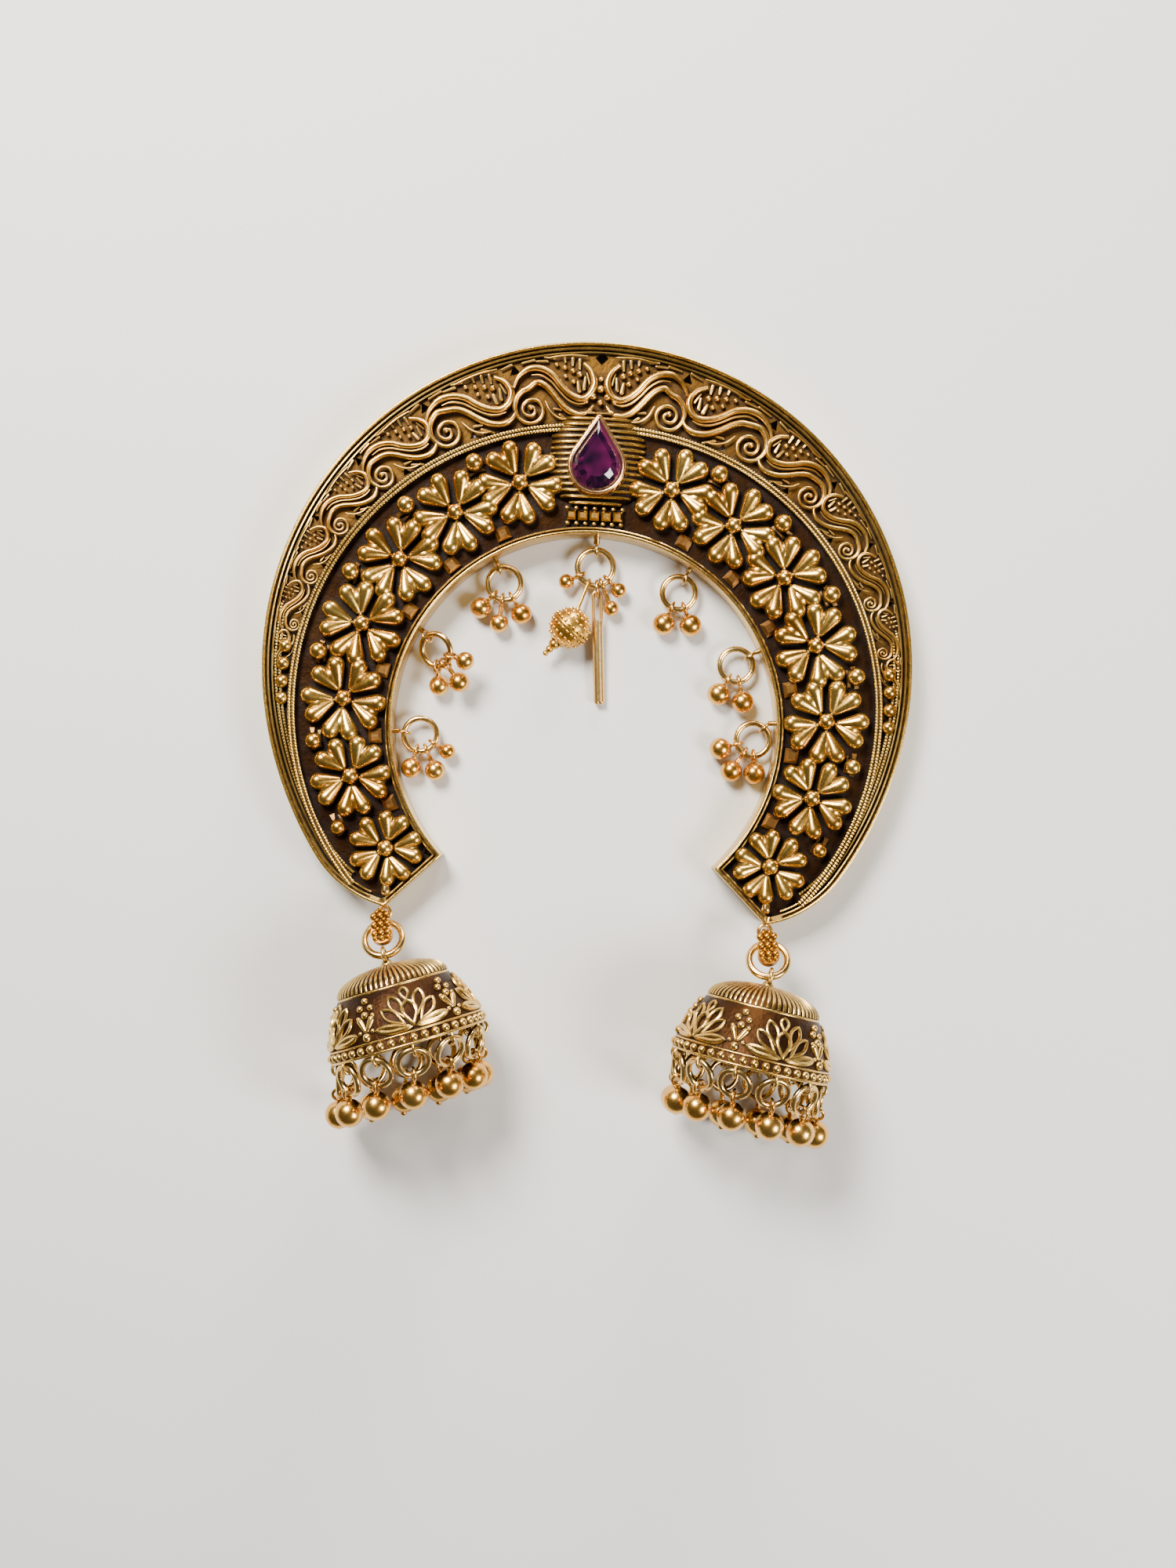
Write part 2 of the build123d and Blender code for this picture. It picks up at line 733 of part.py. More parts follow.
def bell_plane(bell):
    """Plane of a bell's rim: X level, Y up the slope, Z towards its crown."""
    flat = radians(bell.mouth_angle)
    lean = radians(bell_lean)
    towards_crown = Vector(-cos(flat) * cos(lean), -sin(flat) * cos(lean), -sin(lean))
    level = Vector(sin(flat), -cos(flat), 0)
    rise = rim_bead_ring * cos(lean) + rim_bead_height * sin(lean) + rim_bead_radius
    origin = (bell.x, bell.y, rise)
    return Plane(origin=origin, x_dir=level, z_dir=towards_crown)


def world(plane, point):
    """Point of a plane's own frame, in the ornament's."""
    return plane.from_local_coords(Vector(*point))


def square_to(direction, axis):
    """Unit vector nearest a direction that stands square to an axis."""
    axis = axis.normalized()
    return (direction - axis * direction.dot(axis)).normalized()


# Each bell with its drops, the ring that holds it and the bail of that ring
pieces = {"crescent": crescent.part, "stone": stone.part, "hair_clip": hair_clip.part}
for bell in bells:
    plane = bell_plane(bell)
    pieces["bell_" + bell.name] = laid_bell(bell)
    rings = []
    for number in range(drop_count):
        turn = 90 + bell.first_drop + number * 360 / drop_count
        hook = world(plane, (*polar(drop_eye_ring, turn), drop_eye_height))
        droop = radians(between(droops, hook.Z, "eye_height", "angle"))
        down = Vector(0, -cos(droop), -sin(droop))
        around = world(plane, (-sin(radians(turn)), cos(radians(turn)), 0)) - plane.origin
        along = square_to(around, down)
        centre = hook + down * drop_ring.major
        rings.append(wire_ring(centre, down.cross(along), drop_ring))
        bead_hook = hook + down * (2 * drop_ring.major)
        name = f"bell_ball_{bell.name}_{number + 1:02d}"
        pieces[name] = hung_bead(bead_hook, down, along, drop_neck, drop_ball_radius, drop_tip_radius)
    with BuildPart() as bell_rings:
        for ring in rings:
            add(ring)
    pieces["bell_rings_" + bell.name] = bell_rings.part

    # Jump ring from the crown's eye down to the bail on the tip
    crown = world(plane, (0, 0, crown_eye_height))
    tip_hook = Vector(bell.side * tip[0], tip[1] - 2 * tip_eye.major, tip_eye_z)
    towards_tip = Vector(tip_hook.X - crown.X, tip_hook.Y - crown.Y, 0).normalized()
    level = towards_tip.cross(Vector(0, 0, 1))
    slope = radians(tip_ring_slope)
    downhill = towards_tip * cos(slope) - Vector(0, 0, sin(slope))
    ring_centre = crown + downhill * tip_ring.major
    pieces["tip_ring_" + bell.name] = wire_ring(ring_centre, downhill.cross(level), tip_ring)
    bail_hook = crown + downhill * (2 * tip_ring.major)
    loop = long_loop(
        tip_hook, bail_hook, square_to(level, bail_hook - tip_hook), bail_loop.major, bail_loop.wire
    )
    incline = radians(bail_slope)
    uphill = Vector(0, 0, sin(incline)) - towards_tip * cos(incline)
    plate_centre = bail_hook + Vector(0, 0, bail_plate_rise) + uphill * bail_plate_shift
    plate_plane = Plane(origin=plate_centre, x_dir=uphill, z_dir=square_to(Vector(0, 0, 1), uphill))
    with BuildPart() as bail:
        add(loop)
        with BuildSketch(plate_plane):
            with Locations((-bail_half_length, 0)):
                Circle(bail_narrow)
            with Locations((bail_half_length, 0)):
                Circle(bail_wide)
            make_hull()
        extrude(amount=bail_thickness / 2, both=True)
        with Locations(plate_plane.offset(bail_thickness / 2)):
            with GridLocations(*bail_granule_pitch, 3, 3):
                Sphere(bail_granule)
    pieces["bail_" + bell.name] = bail.part

# Charms of the inner rim
for charm in charms:
    hook, down, across = charm_frame(charm)
    centre = hook + down * charm_ring.major
    pieces["charm_ring_" + charm.name] = wire_ring(centre, down.cross(across), charm_ring)
    with BuildPart() as beads:
        for bead in [row for row in charm_beads if row.charm == charm.name]:
            turn = radians(bead.turn)
            out = down * cos(turn) + across * sin(turn)
            wire_dir = across * cos(turn) - down * sin(turn)
            bead_hook = centre + out * charm_ring.major
            add(hung_bead(bead_hook, out, wire_dir, bead.reach - charm_ring.major, bead.radius, 0))
    pieces["charm_beads_" + charm.name] = beads.part

# Centre group
centre = Vector(*centre_place)
pieces["centre_ring"] = wire_ring(centre, (0, 0, 1), centre_ring)
with BuildPart() as small_beads:
    for bead in centre_beads:
        out = Vector(*polar(1, bead.turn), 0)
        wire_dir = Vector(*polar(1, bead.turn + 90), 0)
        bead_hook = centre + out * centre_ring.major
        add(hung_bead(bead_hook, out, wire_dir, bead.reach - centre_ring.major, bead.radius, 0))
pieces["centre_beads"] = small_beads.part

ball = Vector(*ball_centre)
ball_hook = centre + Vector(*polar(centre_ring.major, ball_turn), 0)
ball_run = (ball - ball_hook).normalized()
ball_end = ball - ball_run * ball_radius
wire_dir = square_to(Vector(*polar(1, ball_turn + 90), 0), ball_run)
ball_loop = long_loop(
    ball_hook + ball_run * (ball_loop_half_width - centre_ring.wire - fit_gap * 2),
    ball_end,
    wire_dir,
    ball_loop_half_width,
    eye.wire,
)
axis = Vector(*ball_axis).normalized()
with BuildPart() as granulated_ball:
    with Locations(ball):
        Sphere(ball_radius)
    with Locations(Plane(origin=ball, z_dir=axis)):
        Torus(ball_radius, ball_band_wire)
    add(ball_loop)
    for granule in ball_granules:
        with Locations(ball + axis * granule.reach):
            Sphere(granule.radius)
pieces["granulated_ball"] = granulated_ball.part

link_hook = centre + Vector(*polar(centre_ring.major, link_turn), 0)
rod_tip = Vector(*rod_end, rod_radius + rod_clearance)
rod_run = (rod_tip - link_hook).normalized()
link_centre = link_hook + rod_run * link_drop
link_normal = square_to(Vector(*polar(1, link_turn + 90), 0), rod_run)
pieces["centre_link"] = wire_ring(link_centre, link_normal, link_ring)
loop_near = link_centre + rod_run * (link_drop + rod_loop_half_width)
loop_far = loop_near + rod_run * (rod_loop_length - 2 * rod_loop_half_width)
rod_loop = long_loop(
    loop_near, loop_far, square_to(Vector(0, 0, 1), rod_run), rod_loop_half_width, rod_loop_wire
)
rod = wire_stem(loop_far + rod_run * rod_loop_half_width * 0.5, rod_tip, rod_radius)
with BuildPart() as centre_rod:
    add(rod_loop)
    add(rod)
    with Locations(Plane(origin=rod_tip, z_dir=rod_run)):
        with PolarLocations(rod_radius / 2, 4, 45):
            Sphere(rod_radius / 2)
pieces["centre_rod"] = centre_rod.part

# Everything shifts so that the origin is under the middle of the whole
boxes = [piece.bounding_box() for piece in pieces.values()]
low_x, high_x = min(box.min.X for box in boxes), max(box.max.X for box in boxes)
low_y, high_y = min(box.min.Y for box in boxes), max(box.max.Y for box in boxes)
low_z = min(box.min.Z for box in boxes)
shift = Vector(-(low_x + high_x) / 2, -(low_y + high_y) / 2, -low_z)
for name, piece in pieces.items():
    with BuildPart() as placed:
        with Locations(shift):
            add(piece)
    placed.part.label = name
    export_step(placed.part, f"parts/{name}.step")
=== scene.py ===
"""Looks of a horseshoe hair bun ornament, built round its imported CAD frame.

Sizes are in millimetres in the ornament's own frame, whose origin is the
centre of the horseshoe's outer circle, with z up from the face it lies on.
"""

import json
import logging
from dataclasses import dataclass, field
from enum import Enum
from math import atan2, cos, degrees, hypot, pi, radians, sin, sqrt
from typing import Iterable, NamedTuple

import bpy
import numpy as np
from mathutils import Matrix, Vector


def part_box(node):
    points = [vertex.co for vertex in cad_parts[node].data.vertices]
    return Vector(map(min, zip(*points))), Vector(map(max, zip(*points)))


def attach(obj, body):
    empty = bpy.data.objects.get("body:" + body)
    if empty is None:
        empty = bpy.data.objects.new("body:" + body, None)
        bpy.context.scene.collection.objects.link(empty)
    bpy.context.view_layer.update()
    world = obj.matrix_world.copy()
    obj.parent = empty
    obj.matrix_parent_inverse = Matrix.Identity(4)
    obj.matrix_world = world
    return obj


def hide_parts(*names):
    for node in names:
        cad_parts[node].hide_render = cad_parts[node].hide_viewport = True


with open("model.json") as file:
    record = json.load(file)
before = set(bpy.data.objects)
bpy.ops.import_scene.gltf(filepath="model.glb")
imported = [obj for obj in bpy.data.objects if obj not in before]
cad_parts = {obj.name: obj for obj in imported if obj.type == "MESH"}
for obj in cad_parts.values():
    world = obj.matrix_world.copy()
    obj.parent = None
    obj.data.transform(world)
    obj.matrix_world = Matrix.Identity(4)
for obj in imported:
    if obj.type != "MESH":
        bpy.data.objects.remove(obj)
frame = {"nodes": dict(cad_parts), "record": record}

log = logging.getLogger("ornament")
MM = 0.001
OUTER_RADIUS = 45.7
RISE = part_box("crescent")[1][1] / MM - OUTER_RADIUS
INNER_RADIUS = 27.1
INNER_CENTRE = (0.0, -8.3)
DIVIDER_RADIUS = 39.55
DIVIDER_CENTRE = (1.8, -5.9)
TIP = (26.8, -35.0)
Colour = tuple[float, float, float]
Pair = tuple[float, float]
Triple = tuple[float, float, float]


class Slot(Enum):
    """Material slots of the record."""

    ANTIQUE = "antique_gold"
    COPPERY = "coppery_gold"
    STONE = "stone"
    CLIP = "clip_steel"


class Axis(NamedTuple):
    """Where a sub-assembly's own frame lies in the ornament's, in millimetres."""

    origin: Vector
    across: Vector
    up: Vector
    out: Vector

    def place(self, points: np.ndarray) -> np.ndarray:
        """Points of the sub-assembly's own frame, in the ornament's."""
        turn = np.array([self.across, self.up, self.out])
        return points @ turn + np.array(self.origin)


FLAT = Axis(Vector((0, 0, 0)), Vector((1, 0, 0)), Vector((0, 1, 0)), Vector((0, 0, 1)))


def polar(radius: float, angle: float, centre: Pair = (0.0, 0.0)) -> Pair:
    """Point at an angle in degrees from +X round a centre."""
    return (centre[0] + radius * cos(radians(angle)), centre[1] + radius * sin(radians(angle)))


def arc(centre: Pair, radius: float, start: float, sweep: float, count: int) -> np.ndarray:
    """Points along an arc, both ends included, angles in degrees."""
    turns = np.radians(np.linspace(start, start + sweep, count))
    return np.column_stack([centre[0] + radius * np.cos(turns), centre[1] + radius * np.sin(turns)])


def tangent_arc(start: Pair, heading: float, end: Pair, count: int) -> tuple[np.ndarray, float]:
    """Arc that leaves a point along a heading and ends at another point.

    Args:
        start: Where the arc begins.
        heading: Direction it leaves in, in degrees.
        end: Where the arc ends.
        count: Number of points.

    Returns:
        The points, and the heading at the end in degrees.
    """
    run = np.subtract(end, start)
    left = np.array([-sin(radians(heading)), cos(radians(heading))])
    radius = float(run @ run) / (2 * float(run @ left))
    centre = np.add(start, left * radius)
    first = degrees(atan2(start[1] - centre[1], start[0] - centre[0]))
    last = degrees(atan2(end[1] - centre[1], end[0] - centre[0]))
    sweep = (last - first) % 360 if radius > 0 else -((first - last) % 360)
    return arc(tuple(centre), abs(radius), first, sweep, count), heading + sweep


def smooth_line(points: Iterable, per_span: int = 8) -> np.ndarray:
    """Smooth line through every one of the points.

    Args:
        points: Points that it goes through.
        per_span: Number of points from one to the next.

    Returns:
        The line's points.
    """
    knots = np.array([tuple(point) for point in points], dtype=float)
    knots = np.vstack([2 * knots[0] - knots[1], knots, 2 * knots[-1] - knots[-2]])
    rows = []
    for a, b, c, d in zip(knots, knots[1:], knots[2:], knots[3:]):
        bend = 2 * a - 5 * b + 4 * c - d
        swing = 3 * b - a - 3 * c + d
        for t in np.arange(per_span) / per_span:
            rows.append(0.5 * (2 * b + (c - a) * t + bend * t**2 + swing * t**3))
    rows.append(knots[-2])
    return np.array(rows)


def at_height(line: np.ndarray, height: float | np.ndarray) -> np.ndarray:
    """Flat line lifted to a height."""
    return np.column_stack([line, np.broadcast_to(height, len(line))])


def even_steps(line: np.ndarray, step: float) -> np.ndarray:
    """The same open line with points a fixed step apart."""
    lengths = np.r_[0, np.cumsum(np.linalg.norm(np.diff(line, axis=0), axis=1))]
    marks = np.linspace(0, lengths[-1], max(2, int(lengths[-1] / step)))
    return np.column_stack([np.interp(marks, lengths, column) for column in line.T])


def inset(path: np.ndarray, distance: float, closed: bool = True) -> np.ndarray:
    """Line beside a flat path, mitred at its corners.

    Args:
        path: Points of the path.
        distance: How far to the right of its run the line lies.
        closed: Whether the path closes on itself.

    Returns:
        The line, with a point for each of the path's.
    """
    before = path - np.roll(path, 1, axis=0)
    after = np.roll(path, -1, axis=0) - path
    if not closed:
        before[0], after[-1] = after[0], before[-1]
    normals = []
    for edge in (before, after):
        edge = edge / np.linalg.norm(edge, axis=1, keepdims=True)
        normals.append(np.column_stack([edge[:, 1], -edge[:, 0]]))
    mitre = (normals[0] + normals[1]) / (1 + np.sum(normals[0] * normals[1], axis=1, keepdims=True))
    return path + distance * mitre


@dataclass
class Sketch:
    """Points and faces of one piece while it is being made, in millimetres."""

    points: list = field(default_factory=list)
    faces: list = field(default_factory=list)
    count: int = 0

    def add(self, points: np.ndarray, faces: list) -> None:
        """Takes in a patch of points and the faces between them."""
        self.points.append(np.asarray(points, dtype=float).reshape(-1, 3))
        self.faces.extend([[self.count + index for index in face] for face in faces])
        self.count += len(self.points[-1])

    def sheet(self, rings: np.ndarray, along: bool = False, capped: bool = False) -> None:
        """Surface through rows of points, each of which closes on itself.

        Args:
            rings: Rows of points, as rows by places by 3.
            along: Whether the last row joins the first.
            capped: Whether the two end rows are filled.
        """
        rows, places = rings.shape[:2]
        faces = []
        for row in range(rows if along else rows - 1):
            here = row * places
            above = (row + 1) % rows * places
            for place in range(places):
                beside = (place + 1) % places
                faces.append((here + place, here + beside, above + beside, above + place))
        if capped:
            faces.append(tuple(range(places))[::-1])
            faces.append(tuple((rows - 1) * places + place for place in range(places)))
        self.add(rings, faces)

    def tube(
        self,
        path: np.ndarray,
        radius: float | np.ndarray,
        sides: int = 10,
        closed: bool = False,
        rise: float = 1.0,
        up: Triple | np.ndarray = (0, 0, 1),
    ) -> None:
        """Round or oval wire along a path.

        Args:
            path: Points of the wire's middle.
            radius: Radius of the wire, one for all or one a point.
            sides: Sides of the wire's section.
            closed: Whether the wire is an endless ring.
            rise: Height of the section as a share of its width.
            up: Direction that the section's height stands in, one for all or one a point.
        """
        ahead = np.roll(path, -1, axis=0) - np.roll(path, 1, axis=0)
        if not closed:
            ahead[0], ahead[-1] = path[1] - path[0], path[-1] - path[-2]
        ahead /= np.linalg.norm(ahead, axis=1, keepdims=True)
        side = np.cross(ahead, np.broadcast_to(up, path.shape))
        side /= np.linalg.norm(side, axis=1, keepdims=True)
        lift = np.cross(side, ahead)
        turns = np.linspace(0, 2 * pi, sides, endpoint=False)
        size = np.broadcast_to(radius, len(path))[:, None, None]
        across = np.cos(turns)[None, :, None] * side[:, None]
        self.sheet(
            path[:, None] + size * (across + rise * np.sin(turns)[None, :, None] * lift[:, None]),
            along=closed,
            capped=not closed,
        )

    def ring(
        self, centre: Triple, normal: Triple | Vector, major: float, wire: float, steps: int = 36
    ) -> None:
        """Closed round ring of round wire.

        Args:
            centre: Middle of the ring.
            normal: Direction of the ring's axis.
            major: Radius of the wire's middle line.
            wire: Radius of the wire.
            steps: Number of sections round the ring.
        """
        normal = Vector(normal).normalized()
        first = normal.orthogonal().normalized()
        second = normal.cross(first)
        turns = np.linspace(0, 2 * pi, steps, endpoint=False)[:, None]
        path = np.array(centre) + major * (np.cos(turns) * np.array(first) + np.sin(turns) * np.array(second))
        self.tube(path, wire, 12, closed=True, up=tuple(normal))

    def drop(
        self, start: Triple, start_radius: float, end: Triple, end_radius: float, places: int = 12
    ) -> None:
        """Two balls of different size joined by the cone that touches both.

        Args:
            start: Middle of the first ball.
            start_radius: Radius of the first ball.
            end: Middle of the second ball.
            end_radius: Radius of the second ball.
            places: Number of points round it.
        """
        start, end = np.array(start, dtype=float), np.array(end, dtype=float)
        run = end - start
        length = float(np.linalg.norm(run))
        lean = degrees(np.arccos(np.clip((start_radius - end_radius) / max(length, 1e-6), -1, 1)))
        tail = arc((0, 0), start_radius, 180, lean - 180, 5)
        head = arc((length, 0), end_radius, lean, -lean, 7)
        outline = np.vstack([tail, head])
        outline[0, 1] = outline[-1, 1] = 1e-3
        run = Vector(run / max(length, 1e-6))
        first = np.array(run.orthogonal().normalized())
        second = np.cross(np.array(run), first)
        turns = np.linspace(0, 2 * pi, places, endpoint=False)
        round_it = np.cos(turns)[:, None] * first + np.sin(turns)[:, None] * second
        rings = start + outline[:, 0, None, None] * np.array(run) + outline[:, 1, None, None] * round_it[None]
        self.sheet(rings, capped=True)

    def ball(self, centre: Triple, radius: float, places: int = 16) -> None:
        """Cast ball.

        Args:
            centre: Middle of the ball.
            radius: Its radius.
            places: Number of points round it.
        """
        rows = places // 2 + 1
        lines = np.linspace(0.02, pi - 0.02, rows)
        turns = np.linspace(0, 2 * pi, places, endpoint=False)
        rings = np.array(
            [[(sin(line) * cos(turn), sin(line) * sin(turn), -cos(line)) for turn in turns] for line in lines]
        )
        self.sheet(np.array(centre) + radius * rings, capped=True)

    def ribbon(self, path: np.ndarray, profile: Iterable[Pair], closed: bool = True) -> None:
        """Closed section of (inset, height) pairs run along a flat path."""
        columns = [at_height(inset(path, across, closed), height) for across, height in profile]
        self.sheet(np.stack(columns, axis=1), along=closed, capped=not closed)

    def lathe(self, profile: Iterable[Pair], places: int = 96, closed: bool = True) -> None:
        """Section of (radius, height) pairs turned about the z axis."""
        turns = np.linspace(0, 2 * pi, places, endpoint=False)
        rings = [[(radius * cos(t), radius * sin(t), height) for t in turns] for radius, height in profile]
        self.sheet(np.array(rings), along=closed)

    def block(self, centre: Triple, size: Triple, turn: float = 0.0, crown: float = 0.6) -> None:
        """Low cast block with a smaller top than foot.

        Args:
            centre: Middle of the block.
            size: Its length, width and height.
            turn: Its turn about z, in degrees.
            crown: Size of the top as a share of the foot's.
        """
        corners = ((-1, -1), (1, -1), (1, 1), (-1, 1))
        rings = []
        for height, share in ((-0.5, 1.0), (0.2, 1.0), (0.5, crown)):
            row = []
            for along, beside in corners:
                x = share * along * size[0] / 2
                y = share * beside * size[1] / 2
                row.append((*polar(hypot(x, y), degrees(atan2(y, x)) + turn), height * size[2]))
            rings.append(row)
        self.sheet(np.array(centre) + np.array(rings), capped=True)

    def build(
        self, name: str, material: bpy.types.Material, slot: Slot, where: Axis = FLAT, smooth: float = 40.0
    ) -> bpy.types.Object:
        """Turns the sketch into a dressed piece that rides with the ornament.

        Args:
            name: Plain name of the piece.
            material: Its finish.
            slot: Record slot of the piece, not used.
            where: Frame that the sketch was made in.
            smooth: Angle up to which neighbouring faces shade as one, in degrees.

        Returns:
            The new object.
        """
        points = (where.place(np.vstack(self.points)) + np.array([0, RISE, 0])) * MM
        mesh = bpy.data.meshes.new(name)
        mesh.from_pydata(points.tolist(), [], self.faces)
        mesh.validate()
        mesh.polygons.foreach_set("use_smooth", [smooth > 0] * len(mesh.polygons))
        if smooth > 0:
            mesh.set_sharp_from_angle(angle=radians(smooth))
        mesh.materials.append(material)
        piece = bpy.data.objects.new(name, mesh)
        bpy.context.scene.collection.objects.link(piece)
        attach(piece, "root")
        log.info("%s: %d faces", name, len(mesh.polygons))
        return piece


class Nodes:
    """Short way to add linked nodes to one node tree."""

    def __init__(self, tree: bpy.types.NodeTree) -> None:
        """Keeps the tree that nodes are added to."""
        self.tree = tree

    def add(self, kind: str, settings: dict | None = None, **inputs: object) -> bpy.types.Node:
        """Adds a node.

        Args:
            kind: Blender's name for the node, without ShaderNode.
            settings: Attributes to set on the node itself.
            inputs: Values or sockets for its inputs, spaces written as underscores.

        Returns:
            The node.
        """
        node = self.tree.nodes.new("ShaderNode" + kind)
        for key, value in (settings or {}).items():
            setattr(node, key, value)
        for key, value in inputs.items():
            name = key.replace("_", " ").strip()
            socket = node.inputs[int(name)] if name.isdigit() else node.inputs[name]
            if isinstance(value, bpy.types.NodeSocket):
                self.tree.links.new(value, socket)
            else:
                socket.default_value = value
        return node

    def soft_step(self, value: bpy.types.NodeSocket, start: object, end: object) -> bpy.types.Node:
        """Adds a node that falls smoothly from 1 at a start value to 0 at an end value."""
        return self.add(
            "MapRange", {"interpolation_type": "SMOOTHSTEP"},
            Value=value, From_Min=start, From_Max=end, To_Min=1.0, To_Max=0.0,
        )

    def finish(self, surface: bpy.types.Node) -> None:
        """Joins the shader to the material's output."""
        output = self.tree.nodes.new("ShaderNodeOutputMaterial")
        self.tree.links.new(surface.outputs[0], output.inputs["Surface"])


def empty_material(name: str) -> tuple[bpy.types.Material, Nodes]:
    """Makes a material with no nodes in it yet.

    Args:
        name: The material's name.

    Returns:
        The material and its node adder.
    """
    made = bpy.data.materials.new(name)
    made.use_nodes = True
    made.node_tree.nodes.clear()
    return made, Nodes(made.node_tree)


def effect_group(
    name: str, inputs: dict, outputs: dict
) -> tuple[bpy.types.NodeTree, Nodes, bpy.types.Node, bpy.types.Node]:
    """Starts a shader node group.

    Args:
        name: The group's name.
        inputs: Name of each input and its default value.
        outputs: Name of each output and its kind of socket.

    Returns:
        The tree, its node adder, its input node and its output node.
    """
    tree = bpy.data.node_groups.new(name, "ShaderNodeTree")
    for key, value in inputs.items():
        kind = "NodeSocketFloat" if isinstance(value, float) else "NodeSocketColor"
        tree.interface.new_socket(key, in_out="INPUT", socket_type=kind).default_value = value
    for key, kind in outputs.items():
        tree.interface.new_socket(key, in_out="OUTPUT", socket_type=kind)
    nodes = Nodes(tree)
    return tree, nodes, nodes.tree.nodes.new("NodeGroupInput"), nodes.tree.nodes.new("NodeGroupOutput")


def patina_group() -> bpy.types.NodeTree:
    """Dark brown patina that gathers in hollows and low on the casting.

    Returns:
        The group, with a Mask that is 1 where the patina is thickest.
    """
    tree, nodes, given, result = effect_group(
        "Recess patina",
        {"Reach": 0.0012, "Low": 0.004, "High": 0.005, "Depth": 1.0, "Hollow": 1.0},
        {"Mask": "NodeSocketFloat"},
    )
    hollow = nodes.add("AmbientOcclusion", {"samples": 8}, Distance=given.outputs["Reach"])
    shade = nodes.soft_step(hollow.outputs["AO"], 0.35, 0.86)
    shade = nodes.add("Math", {"operation": "MULTIPLY"}, _0=shade.outputs[0], _1=given.outputs["Hollow"])
    place = nodes.add("TexCoord")
    height = nodes.add("SeparateXYZ", Vector=place.outputs["Object"])
    low = nodes.soft_step(height.outputs["Z"], given.outputs["Low"], given.outputs["High"])
    low = nodes.add("Math", {"operation": "MULTIPLY"}, _0=low.outputs[0], _1=given.outputs["Depth"])
    both = nodes.add("Math", {"operation": "MAXIMUM"}, _0=shade.outputs[0], _1=low.outputs[0])
    cloud = nodes.add("TexNoise", Vector=place.outputs["Object"], Scale=900.0, Detail=3.0)
    uneven = nodes.add(
        "MapRange", Value=cloud.outputs["Fac"], From_Min=0.3, From_Max=0.7, To_Min=0.75, To_Max=1.1
    )
    mask = nodes.add(
        "Math", {"operation": "MULTIPLY", "use_clamp": True}, _0=both.outputs[0], _1=uneven.outputs[0]
    )
    tree.links.new(mask.outputs[0], result.inputs["Mask"])
    return tree


def casting_group() -> bpy.types.NodeTree:
    """Fine unevenness of cast and polished metal.

    Returns:
        The group, with a Height for bump, a Grain and a Cloud mask.
    """
    tree, nodes, given, result = effect_group(
        "Cast surface",
        {"Pitch": 2600.0},
        {"Height": "NodeSocketFloat", "Grain": "NodeSocketFloat", "Cloud": "NodeSocketFloat"},
    )
    place = nodes.add("TexCoord")
    grain = nodes.add("TexNoise", Vector=place.outputs["Object"], Scale=given.outputs["Pitch"], Detail=4.0)
    dents = nodes.add("TexNoise", Vector=place.outputs["Object"], Scale=520.0, Detail=2.0)
    cloud = nodes.add("TexNoise", Vector=place.outputs["Object"], Scale=140.0, Detail=3.0)
    height = nodes.add(
        "Math", {"operation": "MULTIPLY_ADD"}, _0=dents.outputs["Fac"], _1=2.0, _2=grain.outputs["Fac"]
    )
    tree.links.new(height.outputs[0], result.inputs["Height"])
    tree.links.new(grain.outputs["Fac"], result.inputs["Grain"])
    tree.links.new(cloud.outputs["Fac"], result.inputs["Cloud"])
    return tree


def band_group() -> bpy.types.NodeTree:
    """Tells the scroll band from the flower band.

    Returns:
        The group, with a Mask that is 1 beyond the divider and 0 inside it.
    """
    tree, nodes, given, result = effect_group(
        "Scroll band",
        {"Across": 0.0, "Up": 0.0, "Radius": 1.0},
        {"Mask": "NodeSocketFloat"},
    )
    place = nodes.add("SeparateXYZ", Vector=nodes.add("TexCoord").outputs["Object"])
    side = nodes.add("Math", {"operation": "ABSOLUTE"}, _0=place.outputs["X"])
    point = nodes.add("CombineXYZ", X=side.outputs[0], Y=place.outputs["Y"])
    centre = nodes.add("CombineXYZ", X=given.outputs["Across"], Y=given.outputs["Up"])
    reach = nodes.add("VectorMath", {"operation": "DISTANCE"}, _0=point.outputs[0], _1=centre.outputs[0])
    beyond = nodes.add(
        "Math", {"operation": "GREATER_THAN"}, _0=reach.outputs["Value"], _1=given.outputs["Radius"]
    )
    tree.links.new(beyond.outputs[0], result.inputs["Mask"])
    return tree


PATINA = patina_group()
CASTING = casting_group()
BAND = band_group()


